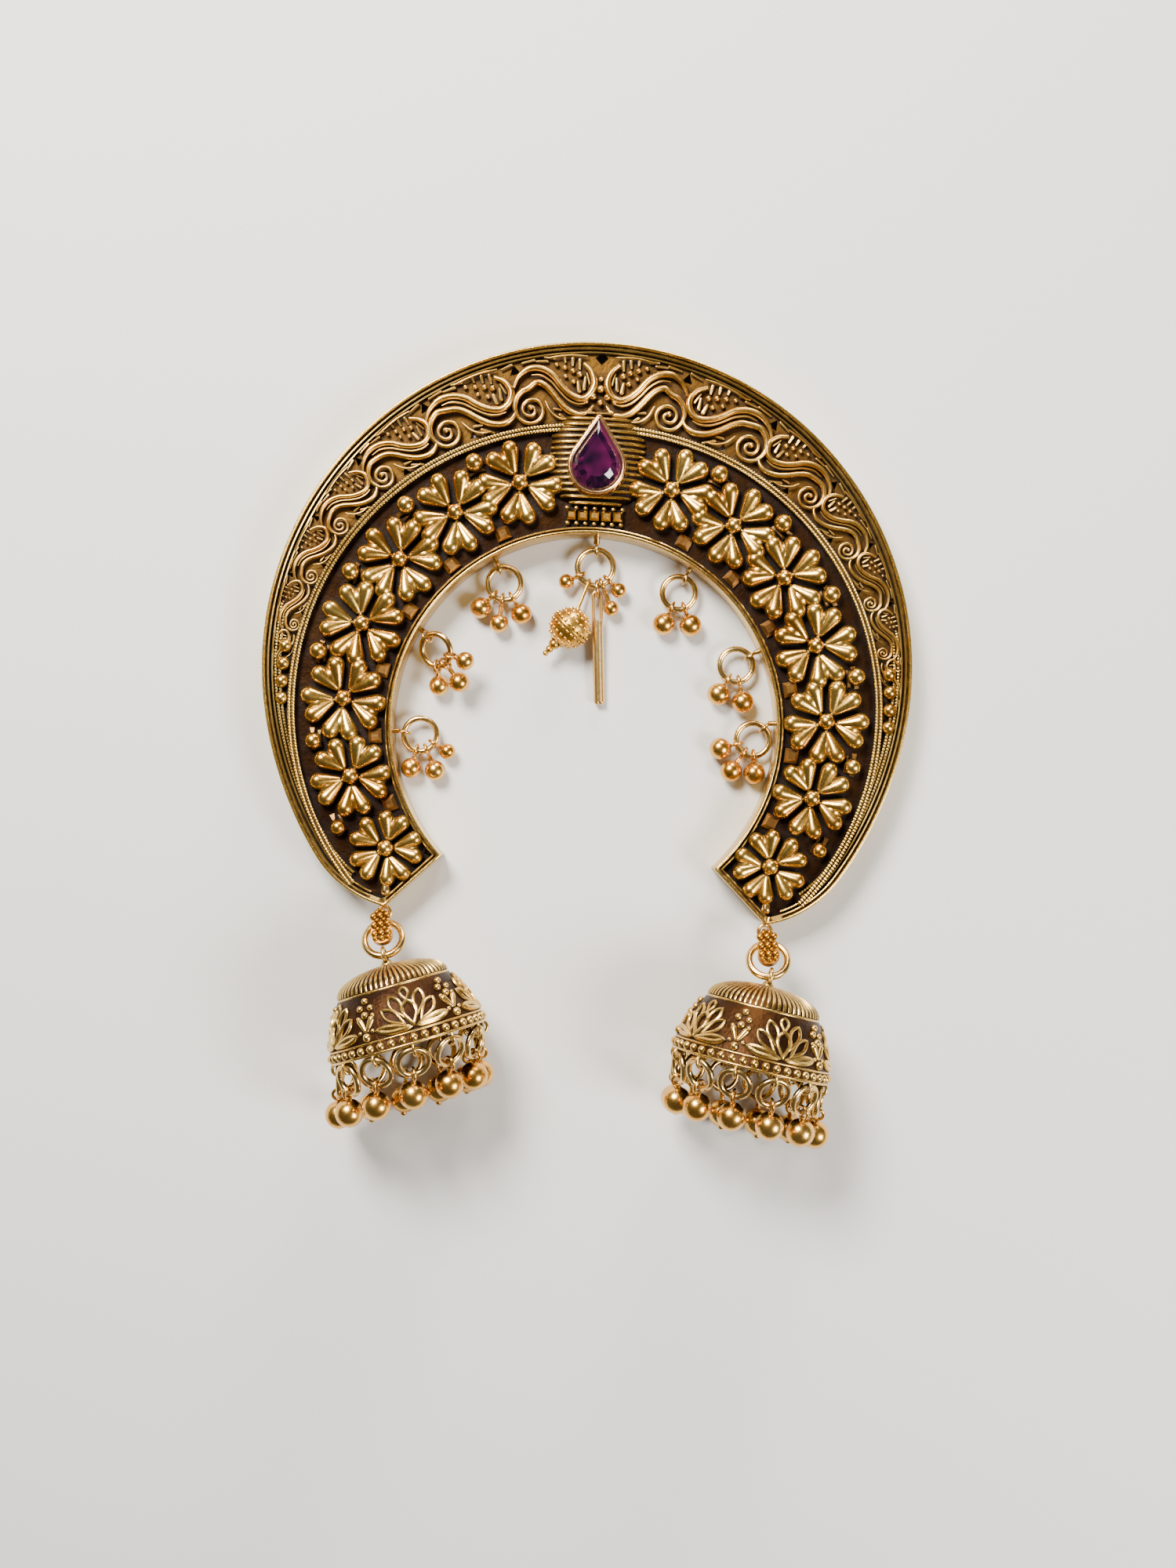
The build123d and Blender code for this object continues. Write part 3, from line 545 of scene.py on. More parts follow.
@dataclass(frozen=True)
class GoldFinish:
    """Gold plate with a patina rubbed into its hollows.

    Attributes:
        name: The material's name.
        bright: Colour of the polished plate.
        warm: Colour of the plate where it has toned.
        deep: Colour of the patina.
        roughness: Roughness of the polished plate.
        reach: How far across a hollow counts, in millimetres.
        low: Height at and below which the patina is full, in millimetres.
        high: Height above which there is none, in millimetres.
        depth: Strength of the patina by height.
        hollow: Strength of the patina in hollows.
        relief: Strength of the cast unevenness.
        metal: How much of the surface shines through as bare metal.
        ground: Colour beyond the divider, where it differs.
    """

    name: str
    bright: Colour
    warm: Colour
    deep: Colour
    roughness: float = 0.24
    reach: float = 1.2
    low: float = 3.9
    high: float = 5.2
    depth: float = 1.0
    hollow: float = 1.0
    relief: float = 0.12
    metal: float = 1.0
    ground: Colour | None = None

    def material(self) -> bpy.types.Material:
        """Builds the finish.

        Returns:
            The new material.
        """
        made, nodes = empty_material(self.name)
        patina = nodes.add(
            "Group", {"node_tree": PATINA},
            Reach=self.reach * MM, Low=self.low * MM, High=self.high * MM,
            Depth=self.depth, Hollow=self.hollow,
        )
        mask = patina.outputs["Mask"]
        cast = nodes.add("Group", {"node_tree": CASTING})
        tone = nodes.add("MapRange", Value=cast.outputs["Cloud"], From_Min=0.35, From_Max=0.65)
        plate = nodes.add("MixRGB", Fac=tone.outputs[0], Color1=(*self.bright, 1), Color2=(*self.warm, 1))
        if self.ground:
            band = nodes.add(
                "Group", {"node_tree": BAND},
                Across=DIVIDER_CENTRE[0] * MM, Up=(DIVIDER_CENTRE[1] + RISE) * MM,
                Radius=DIVIDER_RADIUS * MM,
            )
            plate = nodes.add(
                "MixRGB", Fac=band.outputs["Mask"], Color1=plate.outputs[0], Color2=(*self.ground, 1)
            )
        colour = nodes.add("MixRGB", Fac=mask, Color1=plate.outputs[0], Color2=(*self.deep, 1))
        metal = nodes.add("MapRange", Value=mask, To_Min=self.metal, To_Max=0.7 * self.metal)
        polish = nodes.add(
            "MapRange", Value=cast.outputs["Grain"],
            To_Min=self.roughness - 0.05, To_Max=self.roughness + 0.09,
        )
        rough = nodes.add("MapRange", Value=mask, To_Min=polish.outputs[0], To_Max=0.62)
        bump = nodes.add("Bump", Strength=self.relief, Distance=0.12 * MM, Height=cast.outputs["Height"])
        nodes.finish(nodes.add(
            "BsdfPrincipled",
            Base_Color=colour.outputs[0], Metallic=metal.outputs[0], Roughness=rough.outputs[0],
            Normal=bump.outputs[0],
        ))
        return made


@dataclass(frozen=True)
class StoneFinish:
    """Dark purple red glass stone over a foiled seat."""

    name: str = "Purple red stone"
    # lit is the painted highlight colour of facets turned to the light, heart the painted shade colour of
    # facets turned away.
    lit: Colour = (0.065, 0.002, 0.036)
    heart: Colour = (0.005, 0.0, 0.008)

    def material(self) -> bpy.types.Material:
        """Builds the stone's glass with painted light: each facet is coloured lit or dark by its lean, as if
        it sent light back, under a random cloud of tone.

        Returns:
            The new material.
        """
        made, nodes = empty_material(self.name)
        shape = nodes.add("NewGeometry")
        # Painted light: noise of each facet's true normal sets how lit or shaded the facet is painted; the
        # object cloud adds random tone.
        lean = nodes.add("TexNoise", Vector=shape.outputs["True Normal"], Scale=5.5, Detail=0.0)
        place = nodes.add("TexCoord")
        cloud = nodes.add("TexNoise", Vector=place.outputs["Object"], Scale=330.0, Detail=1.0)
        both = nodes.add("Math", {"operation": "ADD"}, _0=lean.outputs["Fac"], _1=cloud.outputs["Fac"])
        facet_light_and_tone = nodes.add("MapRange", Value=both.outputs[0], From_Min=0.86, From_Max=1.24)
        colour = nodes.add("MixRGB", Fac=facet_light_and_tone.outputs[0], Color1=(*self.heart, 1), Color2=(*self.lit, 1))
        nodes.finish(nodes.add("BsdfPrincipled", Base_Color=colour.outputs[0], Roughness=0.12, IOR=1.65))
        return made


@dataclass(frozen=True)
class SteelFinish:
    """Plain brushed spring steel."""

    name: str = "Clip steel"
    colour: Colour = (0.5, 0.48, 0.45)

    def material(self) -> bpy.types.Material:
        """Builds the strip's brushed steel.

        Returns:
            The new material.
        """
        made, nodes = empty_material(self.name)
        place = nodes.add("TexCoord")
        stretch = nodes.add("Mapping", Vector=place.outputs["Object"], Scale=(120.0, 6000.0, 6000.0))
        lines = nodes.add("TexNoise", Vector=stretch.outputs[0], Scale=1.0, Detail=2.0)
        rough = nodes.add("MapRange", Value=lines.outputs["Fac"], To_Min=0.25, To_Max=0.45)
        colour = nodes.add("MapRange", Value=lines.outputs["Fac"], To_Min=0.85, To_Max=1.05)
        shade = nodes.add(
            "MixRGB", {"blend_type": "MULTIPLY"}, Fac=1.0, Color1=(*self.colour, 1), Color2=colour.outputs[0]
        )
        bump = nodes.add("Bump", Strength=0.15, Distance=0.03 * MM, Height=lines.outputs["Fac"])
        nodes.finish(nodes.add(
            "BsdfPrincipled",
            Base_Color=shade.outputs[0], Metallic=1.0, Roughness=rough.outputs[0], Normal=bump.outputs[0],
        ))
        return made


ANTIQUE = GoldFinish("Antique gold", (0.82, 0.53, 0.13), (0.66, 0.34, 0.06), (0.03, 0.01, 0.002)).material()
RIM = GoldFinish(
    "Rim gold", (0.76, 0.52, 0.15), (0.6, 0.37, 0.08), (0.045, 0.017, 0.004), depth=0.0
).material()
SCROLL = GoldFinish(
    "Scroll gold", (0.8, 0.51, 0.13), (0.68, 0.36, 0.075), (0.05, 0.018, 0.004), 0.27, 0.8, depth=0.4
).material()
FLOOR = GoldFinish(
    "Recess floor", (0.026, 0.01, 0.002), (0.012, 0.004, 0.001), (0.006, 0.002, 0.001), 0.5, 1.6,
    depth=0.0, relief=0.5, metal=0.95, ground=(0.125, 0.06, 0.009),
).material()
PAD = GoldFinish(
    "Pad gold", (0.24, 0.12, 0.03), (0.13, 0.055, 0.013), (0.02, 0.007, 0.002), 0.36, 1.0,
    depth=0.0, relief=0.3, metal=0.9,
).material()
BEZEL = GoldFinish(
    "Bezel gold", (0.88, 0.54, 0.27), (0.8, 0.44, 0.19), (0.1, 0.035, 0.012), 0.2, 0.8,
    depth=0.0, hollow=0.6,
).material()
WIRE = GoldFinish(
    "Ring gold", (0.84, 0.58, 0.21), (0.7, 0.42, 0.12), (0.07, 0.025, 0.007), 0.2, 0.9,
    depth=0.0, hollow=0.6,
).material()
COPPER = GoldFinish(
    "Coppery gold", (0.84, 0.49, 0.12), (0.72, 0.35, 0.06), (0.09, 0.028, 0.006), 0.24, 1.0,
    depth=0.0, hollow=0.8, relief=0.1,
).material()
BAIL = GoldFinish(
    "Bail gold", (0.5, 0.23, 0.025), (0.36, 0.145, 0.012), (0.03, 0.009, 0.002), 0.3, 0.7, depth=0.0
).material()
GRAINED = GoldFinish(
    "Grained gold", (0.76, 0.46, 0.09), (0.62, 0.31, 0.045), (0.05, 0.018, 0.003), 0.3, 0.6,
    depth=0.0, relief=0.15,
).material()
ROD = GoldFinish(
    "Rod gold", (0.85, 0.6, 0.26), (0.76, 0.46, 0.15), (0.12, 0.04, 0.01), 0.28, 1.0,
    depth=0.0, hollow=0.6, relief=0.08,
).material()
BELL = GoldFinish(
    "Bell gold", (0.8, 0.53, 0.15), (0.64, 0.37, 0.08), (0.04, 0.014, 0.003), 0.24, 0.8, depth=0.0
).material()
BELL_WALL = GoldFinish(
    "Bell wall", (0.055, 0.02, 0.003), (0.016, 0.005, 0.001), (0.008, 0.002, 0.001), 0.42, 1.3,
    depth=0.0, relief=0.7, metal=0.9,
).material()
GEM = StoneFinish().material()
STEEL = SteelFinish().material()


@dataclass
class Horseshoe:
    """Outline of the casting with its plate, rims and divider."""

    shoulder: float = -10.0
    flank: Pair = (36.9, -28.2)
    tip: Pair = TIP
    inner_radius: float = INNER_RADIUS
    inner_centre: Pair = INNER_CENTRE
    corner_angle: float = -45.0
    rim_width: float = 0.9
    rim_height: float = 5.6
    floor_bottom: float = 3.2
    floor_top: float = 4.0
    divider_radius: float = DIVIDER_RADIUS
    divider_centre: Pair = DIVIDER_CENTRE
    divider_height: float = 5.25
    divider_wire: float = 0.27
    fine_wire: float = 0.15
    beaded_wire: float = 0.24
    beaded_share: float = 0.57
    bead_step: float = 0.11

    def __post_init__(self) -> None:
        """Works out the outline and where each divider runs."""
        crest = arc((0, 0), OUTER_RADIUS, 90, self.shoulder - 90, 100)
        shoulder, heading = tangent_arc(tuple(crest[-1]), self.shoulder - 90, self.flank, 24)
        lower, _ = tangent_arc(tuple(shoulder[-1]), heading, self.tip, 20)
        edge = np.linspace(lower[-1], polar(self.inner_radius, self.corner_angle, self.inner_centre), 8)
        inner = arc(self.inner_centre, self.inner_radius, self.corner_angle, 90 - self.corner_angle, 90)
        self.outer_side = np.vstack([crest, shoulder[1:], lower[1:]])
        self.inner_side = np.vstack([edge, inner[1:]])
        right = np.vstack([self.outer_side, self.inner_side[1:]])
        left = right[-2:0:-1] * (-1, 1)
        self.outline = np.vstack([right, left])
        self.divider = self._divider()

    def _divider(self) -> np.ndarray:
        """Runs the right divider from the top to where it meets the rim.

        Returns:
            The divider's points.
        """
        line = arc(self.divider_centre, self.divider_radius, 92.6, -160, 400)
        gaps = np.linalg.norm(line[:, None] - self.outer_side[None], axis=2).min(axis=1)
        return line[: int(np.argmax(gaps < self.rim_width + 0.1))]

    def reach(self, angle: float) -> float:
        """Distance of the divider from the origin at an angle from the top."""
        across, up = self.divider_centre
        along = across * sin(radians(angle)) + up * cos(radians(angle))
        return along + sqrt(along**2 - across**2 - up**2 + self.divider_radius**2)

    def plate(self, holes: list[np.ndarray]) -> None:
        """Pierced floor of the casting.

        Args:
            holes: Outline of each gap that is cut through.
        """
        curve = bpy.data.curves.new("plate", "CURVE")
        curve.dimensions, curve.fill_mode = "2D", "BOTH"
        curve.extrude = (self.floor_top - self.floor_bottom) / 2 * MM
        for loop in [inset(self.outline, self.rim_width / 2), *holes]:
            spline = curve.splines.new("POLY")
            spline.points.add(len(loop) - 1)
            for point, (x, y) in zip(spline.points, loop):
                point.co = (x * MM, (y + RISE) * MM, 0, 1)
            spline.use_cyclic_u = True
        draft = bpy.data.objects.new("plate_draft", curve)
        mesh = bpy.data.meshes.new_from_object(draft)
        mesh.transform(Matrix.Translation((0, 0, (self.floor_top + self.floor_bottom) / 2 * MM)))
        mesh.name = "crescent_plate"
        mesh.materials.clear()
        mesh.materials.append(FLOOR)
        bpy.data.objects.remove(draft)
        piece = bpy.data.objects.new("crescent_plate", mesh)
        bpy.context.scene.collection.objects.link(piece)
        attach(piece, "root")
        log.info("crescent_plate: %d faces", len(mesh.polygons))

    def rims(self) -> None:
        """Rim walls with a rounded lip, and the fine wires inside them."""
        sketch = Sketch()
        lip = [polar(0.22, turn, (0.23, self.rim_height - 0.22)) for turn in range(180, -1, -30)]
        profile = [(0.01, 0.0), *lip, (0.48, 4.65), (self.rim_width, 4.55), (self.rim_width, 0.0)]
        sketch.ribbon(self.outline, profile[::-1])
        walls = sketch.build("crescent_rims", RIM, Slot.ANTIQUE, smooth=50)
        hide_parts("crescent")
        fine, beaded = Sketch(), Sketch()
        for side in (1, -1):
            outer = self.outer_side * (side, 1)
            for across, height in ((0.8, 4.85), (1.33, 4.45)):
                line = inset(outer, side * across, closed=False)[:-4]
                fine.tube(at_height(line, height), self.fine_wire, 8, rise=1.5)
            start = int(len(outer) * self.beaded_share)
            for across in (1.85, 2.4):
                line = even_steps(inset(outer, side * across, closed=False)[start:-10], self.bead_step)
                beaded.tube(at_height(line, 4.5), self._beads(len(line), self.beaded_wire), 7)
            inner = inset(self.inner_side * (side, 1), side * 0.82, closed=False)
            fine.tube(at_height(inner, 4.8), self.fine_wire, 8, rise=1.5)
        fine.build("rim_wires", RIM, Slot.ANTIQUE)
        beaded.build("rim_beading", RIM, Slot.ANTIQUE)

    @staticmethod
    def _beads(count: int, radius: float) -> np.ndarray:
        """Radius along a beaded wire, four points to a bead."""
        return radius * (0.62 + 0.38 * np.abs(np.sin(np.arange(count) * pi / 4)))

    def dividers(self) -> None:
        """Double beaded wire between the scroll band and the flower band."""
        sketch, bar = Sketch(), Sketch()
        section = [(-0.35, 3.9), (0.35, 3.9), (0.35, 4.85), (-0.35, 4.85)]
        for side in (1, -1):
            line = self.divider * (side, 1)
            for across in (-0.3, 0.3):
                row = even_steps(inset(line, across, closed=False), self.bead_step)
                beads = self._beads(len(row), self.divider_wire)
                sketch.tube(at_height(row, self.divider_height - self.divider_wire), beads, 8)
            bar.ribbon(line, section[::-side], closed=False)
        sketch.build("divider_wires", RIM, Slot.ANTIQUE)
        bar.build("divider_bar", SCROLL, Slot.ANTIQUE)

    def build(self, holes: list[np.ndarray]) -> None:
        """Makes the plate, the rims and the dividers."""
        self.plate(holes)
        self.rims()
        self.dividers()


class Flower(NamedTuple):
    """Middle of a flower, the direction of its first petal in degrees, and its size."""

    x: float
    y: float
    turn: float
    size: float = 1.0


class Granule(NamedTuple):
    """Middle and radius of a cast ball."""

    x: float
    y: float
    radius: float


@dataclass
class FlowerBand:
    """Flowers of plump heart petals with balls and low pads between them."""

    floor: float = 4.0
    petals: int = 5
    belly_radius: float = 1.5
    lobe_radius: float = 1.27
    lobe_reach: float = 4.65
    eye_radius: float = 1.15
    eye_height: float = 5.25
    ball_sink: float = 0.25
    pad_reach: float = 29.5
    flowers: tuple[Flower, ...] = (
        Flower(10.7, 25.5, 270),
        Flower(19.6, 20.9, 258),
        Flower(27.1, 13.9, 239),
        Flower(31.95, 4.6, 294),
        Flower(34.0, -6.0, 274),
        Flower(32.5, -16.9, 260, 0.95),
        Flower(27.1, -26.8, 248, 0.88),
    )
    granules: tuple[Granule, ...] = (
        Granule(17.3, 28.0, 1.3),
        Granule(26.6, 21.6, 1.3),
        Granule(33.9, 11.9, 1.3),
        Granule(37.9, 0.5, 1.3),
        Granule(38.0, -12.2, 1.2),
        Granule(33.9, -24.2, 1.1),
        Granule(42.55, 1.0, 0.95),
        Granule(42.75, -1.5, 0.95),
        Granule(42.8, -4.0, 0.95),
        Granule(42.75, -6.4, 0.9),
    )

    def petal(self, sketch: Sketch, centre: Pair, turn: float, size: float) -> None:
        """One heart petal: two lobes that part from a pointed tip.

        Args:
            sketch: Sketch that it is added to.
            centre: Middle of the flower.
            turn: Direction of the petal, in degrees.
            size: Size of the flower, 1 for a full one.
        """

        def at(along: float, across: float, height: float) -> Triple:
            x, y = polar(size * hypot(along, across), turn + degrees(atan2(across, along)), centre)
            return (x, y, height)

        sketch.drop(at(1.7, 0, 4.4), 0.5, at(3.7, 0, 4.2), self.belly_radius * size, 12)
        sketch.drop(at(0.8, 0, 4.7), 0.2, at(1.9, 0, 4.95), 0.28, 8)
        for side in (1, -1):
            lobe = at(self.lobe_reach, side * 1.36, 4.95)
            sketch.drop(at(1.85, side * 0.22, 4.8), 0.5, lobe, self.lobe_radius * size, 16)

    def build(self) -> None:
        """Makes the flowers, the balls and the pads of both sides."""
        hearts, eyes, balls, pads = Sketch(), Sketch(), Sketch(), Sketch()
        for side in (1, -1):
            for flower in self.flowers:
                middle = (side * flower.x, flower.y)
                turn = flower.turn if side > 0 else 180 - flower.turn
                for number in range(self.petals):
                    self.petal(hearts, middle, turn + side * number * 360 / self.petals, flower.size)
                eyes.drop((*middle, 4.1), 0.8, (*middle, self.eye_height), self.eye_radius, 18)
            for granule in self.granules:
                height = self.floor + granule.radius - self.ball_sink
                balls.ball((side * granule.x, granule.y, height), granule.radius, 20)
            self._pads(pads, side)
        hearts.build("flower_petals", ANTIQUE, Slot.ANTIQUE)
        eyes.build("flower_eyes", ANTIQUE, Slot.ANTIQUE)
        balls.build("band_balls", ANTIQUE, Slot.ANTIQUE)
        pads.build("recess_pads", PAD, Slot.ANTIQUE, smooth=0)

    def _pads(self, sketch: Sketch, side: int) -> None:
        """Low pads by the inner rim and bars by the divider between flowers.

        Args:
            sketch: Sketch that they are added to.
            side: 1 on the right, -1 on the left.
        """
        for near, far in zip(self.flowers, self.flowers[1:]):
            x, y = (near.x + far.x) / 2, (near.y + far.y) / 2
            above = y - INNER_CENTRE[1]
            turn = degrees(atan2(above, x))
            inward = self.pad_reach - hypot(x, above)
            for reach, size in ((inward, (1.9, 2.1, 1.2)), (4.9, (0.7, 3.2, 1.0)), (3.9, (0.5, 2.4, 0.8))):
                across, up = polar(reach, turn, (x, y))
                centre = (side * across, up, self.floor + 0.15)
                sketch.block(centre, size, turn if side > 0 else 180 - turn, 0.5)


class Scroll(NamedTuple):
    """Spiral: angle from the top, distance from the origin and radius."""

    angle: float
    reach: float
    radius: float


@dataclass
class ScrollBand:
    """Waves of paired strands that end in spirals, with florets under them."""

    shoe: Horseshoe
    floor: float = 4.0
    strand_height: float = 4.78
    outer_strand: float = 0.23
    inner_strand: float = 0.17
    fine_strand: float = 0.08
    gap_radius: float = 0.95
    coil_start: float = 8.0
    first_angle: float = -1.4
    scrolls: tuple[Scroll, ...] = (
        Scroll(15.2, 37.1, 2.2),
        Scroll(33.7, 38.5, 2.2),
        Scroll(49.7, 39.4, 1.8),
        Scroll(63.0, 40.1, 1.4),
        Scroll(74.6, 40.9, 1.15),
        Scroll(84.5, 41.7, 0.95),
    )
    outer: tuple[Pair, ...] = (
        (0.29, 0.84), (0.20, 0.73), (0.16, 0.57), (0.22, 0.42), (0.33, 0.36), (0.46, 0.42),
        (0.56, 0.54), (0.65, 0.70), (0.77, 0.81), (0.91, 0.84), (1.05, 0.76), (1.14, 0.62),
    )
    inner: tuple[Pair, ...] = (
        (0.17, 0.27), (0.24, 0.18), (0.36, 0.14), (0.50, 0.20),
        (0.61, 0.33), (0.69, 0.47), (0.77, 0.58), (0.86, 0.63),
    )
    fine: tuple[tuple[Pair, ...], ...] = (
        ((0.52, 0.08), (0.64, 0.10), (0.74, 0.20), (0.79, 0.36)),
        ((0.24, 0.94), (0.45, 0.96), (0.70, 0.95)),
        ((0.28, 0.30), (0.38, 0.29), (0.49, 0.34), (0.59, 0.46), (0.68, 0.61), (0.79, 0.72), (0.90, 0.745)),
    )
    coil: tuple[Pair, ...] = (
        (0, 1.5), (55, 1.18), (110, 0.98), (190, 0.92), (290, 0.84),
        (370, 0.66), (470, 0.5), (590, 0.36), (720, 0.17),
    )
    granules: tuple[Triple, ...] = (
        (0.34, 0.70, 0.2), (0.42, 0.75, 0.19), (0.51, 0.80, 0.18),
        (0.60, 0.85, 0.16), (0.42, 0.60, 0.17), (0.51, 0.68, 0.15),
    )
    leaves: tuple[tuple[float, ...], ...] = (
        (0.29, 0.50, 0.27, 0.66, 0.13), (0.35, 0.47, 0.36, 0.60, 0.15), (0.22, 0.57, 0.25, 0.72, 0.08),
        (0.33, 0.90, 0.34, 0.78, 0.12), (0.41, 0.92, 0.42, 0.83, 0.12), (0.50, 0.94, 0.50, 0.88, 0.11),
        (0.70, 0.91, 0.82, 0.93, 0.1), (0.62, 0.94, 0.72, 0.97, 0.09), (0.84, 0.95, 0.98, 0.94, 0.1),
        (0.62, 0.15, 0.50, 0.05, 0.12), (0.69, 0.24, 0.60, 0.22, 0.1), (1.10, 0.95, 1.22, 0.92, 0.09),
    )
    crest: tuple[Triple, ...] = (
        (0, 39.2, 0.55), (-1.0, 38.1, 0.5), (1.0, 38.1, 0.5), (0, 37.3, 0.45),
        (-2.0, 37.4, 0.4), (2.0, 37.4, 0.4), (0, 40.6, 0.4),
    )

    def point(self, unit: int, place: float, level: float, side: int) -> Pair:
        """Point of the band.

        Args:
            unit: Wave that it belongs to, from the top.
            place: Share of the way from one spiral to the next.
            level: Share of the way from the divider to the rim.
            side: 1 on the right, -1 on the left.

        Returns:
            The point in the ornament's frame.
        """
        angles = [self.first_angle, *[scroll.angle for scroll in self.scrolls], 92.5]
        angle = angles[unit] + place * (angles[unit + 1] - angles[unit])
        inside = self.shoe.reach(angle) + 0.35
        reach = inside + level * (OUTER_RADIUS - 1.3 - inside)
        return (side * reach * sin(radians(angle)), reach * cos(radians(angle)))

    def spiral(self, scroll: Scroll, side: int) -> np.ndarray:
        """Line of a spiral from the strand's crest inwards.

        Args:
            scroll: The spiral.
            side: 1 on the right, -1 on the left.

        Returns:
            The line's points.
        """
        x, y = polar(scroll.reach, 90 - side * scroll.angle)
        turned, share = smooth_line(self.coil, 9).T
        turns = np.radians(90 - side * scroll.angle + side * (self.coil_start - turned))
        radius = (scroll.radius - 0.15) * share
        return np.column_stack([x + radius * np.cos(turns), y + radius * np.sin(turns)])

    def holes(self) -> list[np.ndarray]:
        """Finds the gaps cut through the plate.

        Returns:
            The outline of each gap.
        """
        found = [arc((0, OUTER_RADIUS - 2.0), self.gap_radius, 0, 270, 4)]
        corner = polar(self.shoe.inner_radius, self.shoe.corner_angle, self.shoe.inner_centre)
        for side in (1, -1):
            tip = (side * (corner[0] + 1.7), corner[1] + 0.5)
            found.append(arc(tip, self.gap_radius, 20, 270, 4))
            for unit, scroll in enumerate(self.scrolls):
                for place, level in ((0.07, 0.86), (0.74, 0.12)):
                    middle = self.point(unit + 1, place, level, side)
                    size = scroll.radius * (0.42 if level > 0.5 else 0.3)
                    found.append(arc(middle, size, 90 - side * scroll.angle, 240, 3))
        return found

    def build(self) -> None:
        """Makes the strands, the spirals and the florets of both sides."""
        strands, florets = Sketch(), Sketch()
        for side in (1, -1):
            for unit in range(len(self.scrolls) + 1):
                last = unit == len(self.scrolls)
                scroll = self.scrolls[-1 if last else unit]
                size = scroll.radius * (0.8 if last else 1.0)
                crest = [self.point(unit, *spot, side) for spot in (self.outer[:9] if last else self.outer)]
                self._strand(strands, crest, size * self.outer_strand)
                lead = [self.point(unit, *spot, side) for spot in (self.inner[1:5] if last else self.inner)]
                if last:
                    self._strand(strands, lead, size * self.inner_strand)
                else:
                    coil = self.spiral(scroll, side)
                    line = smooth_line([*lead, *coil[::3]], 5)
                    along = np.linspace(0, 1, len(line))
                    taper = np.interp(along, (0, 0.05, 0.28, 0.45, 1), (0.1, 0.215, 0.215, 0.135, 0.105))
                    radii = size * taper
                    strands.tube(at_height(line, self.strand_height), radii, 10, rise=1.3)
                    strands.ball((*coil[-1], self.strand_height - 0.05), 0.2 * size, 10)
                for spots in self.fine:
                    thread = [self.point(unit, *spot, side) for spot in spots]
                    self._strand(strands, thread, size * self.fine_strand)
                self._floret(florets, unit, size, side)
        self._crest(florets)
        strands.build("scroll_strands", SCROLL, Slot.ANTIQUE, smooth=60)
        florets.build("scroll_florets", SCROLL, Slot.ANTIQUE)

    def _strand(self, sketch: Sketch, points: list[Pair], radius: float) -> None:
        """One tapering strand through flat points."""
        line = smooth_line(points, 6)
        radii = radius * np.interp(np.linspace(0, 1, len(line)), (0, 0.2, 0.8, 1), (0.55, 1, 1, 0.45))
        sketch.tube(at_height(line, self.strand_height), radii, 10, rise=1.25)

    def _floret(self, sketch: Sketch, unit: int, size: float, side: int) -> None:
        """Cluster of granules with short leaves in the hook of a wave.

        Args:
            sketch: Sketch that it is added to.
            unit: Wave that it lies in, from the top.
            size: Size of the wave's strands.
            side: 1 on the right, -1 on the left.
        """
        for place, level, radius in self.granules:
            middle = self.point(unit, place, level, side)
            sketch.ball((*middle, self.floor + 0.55), radius * size, 12)
        for place, level, far_place, far_level, radius in self.leaves:
            near = self.point(unit, place, level, side)
            far = self.point(unit, far_place, far_level, side)
            sketch.drop((*near, 4.5), radius * size, (*far, 4.45), 0.7 * radius * size, 8)

    def _crest(self, sketch: Sketch) -> None:
        """Granules over the medallion in the middle of the band."""
        for x, y, radius in self.crest:
            sketch.ball((x, y, 4.7), radius, 14)


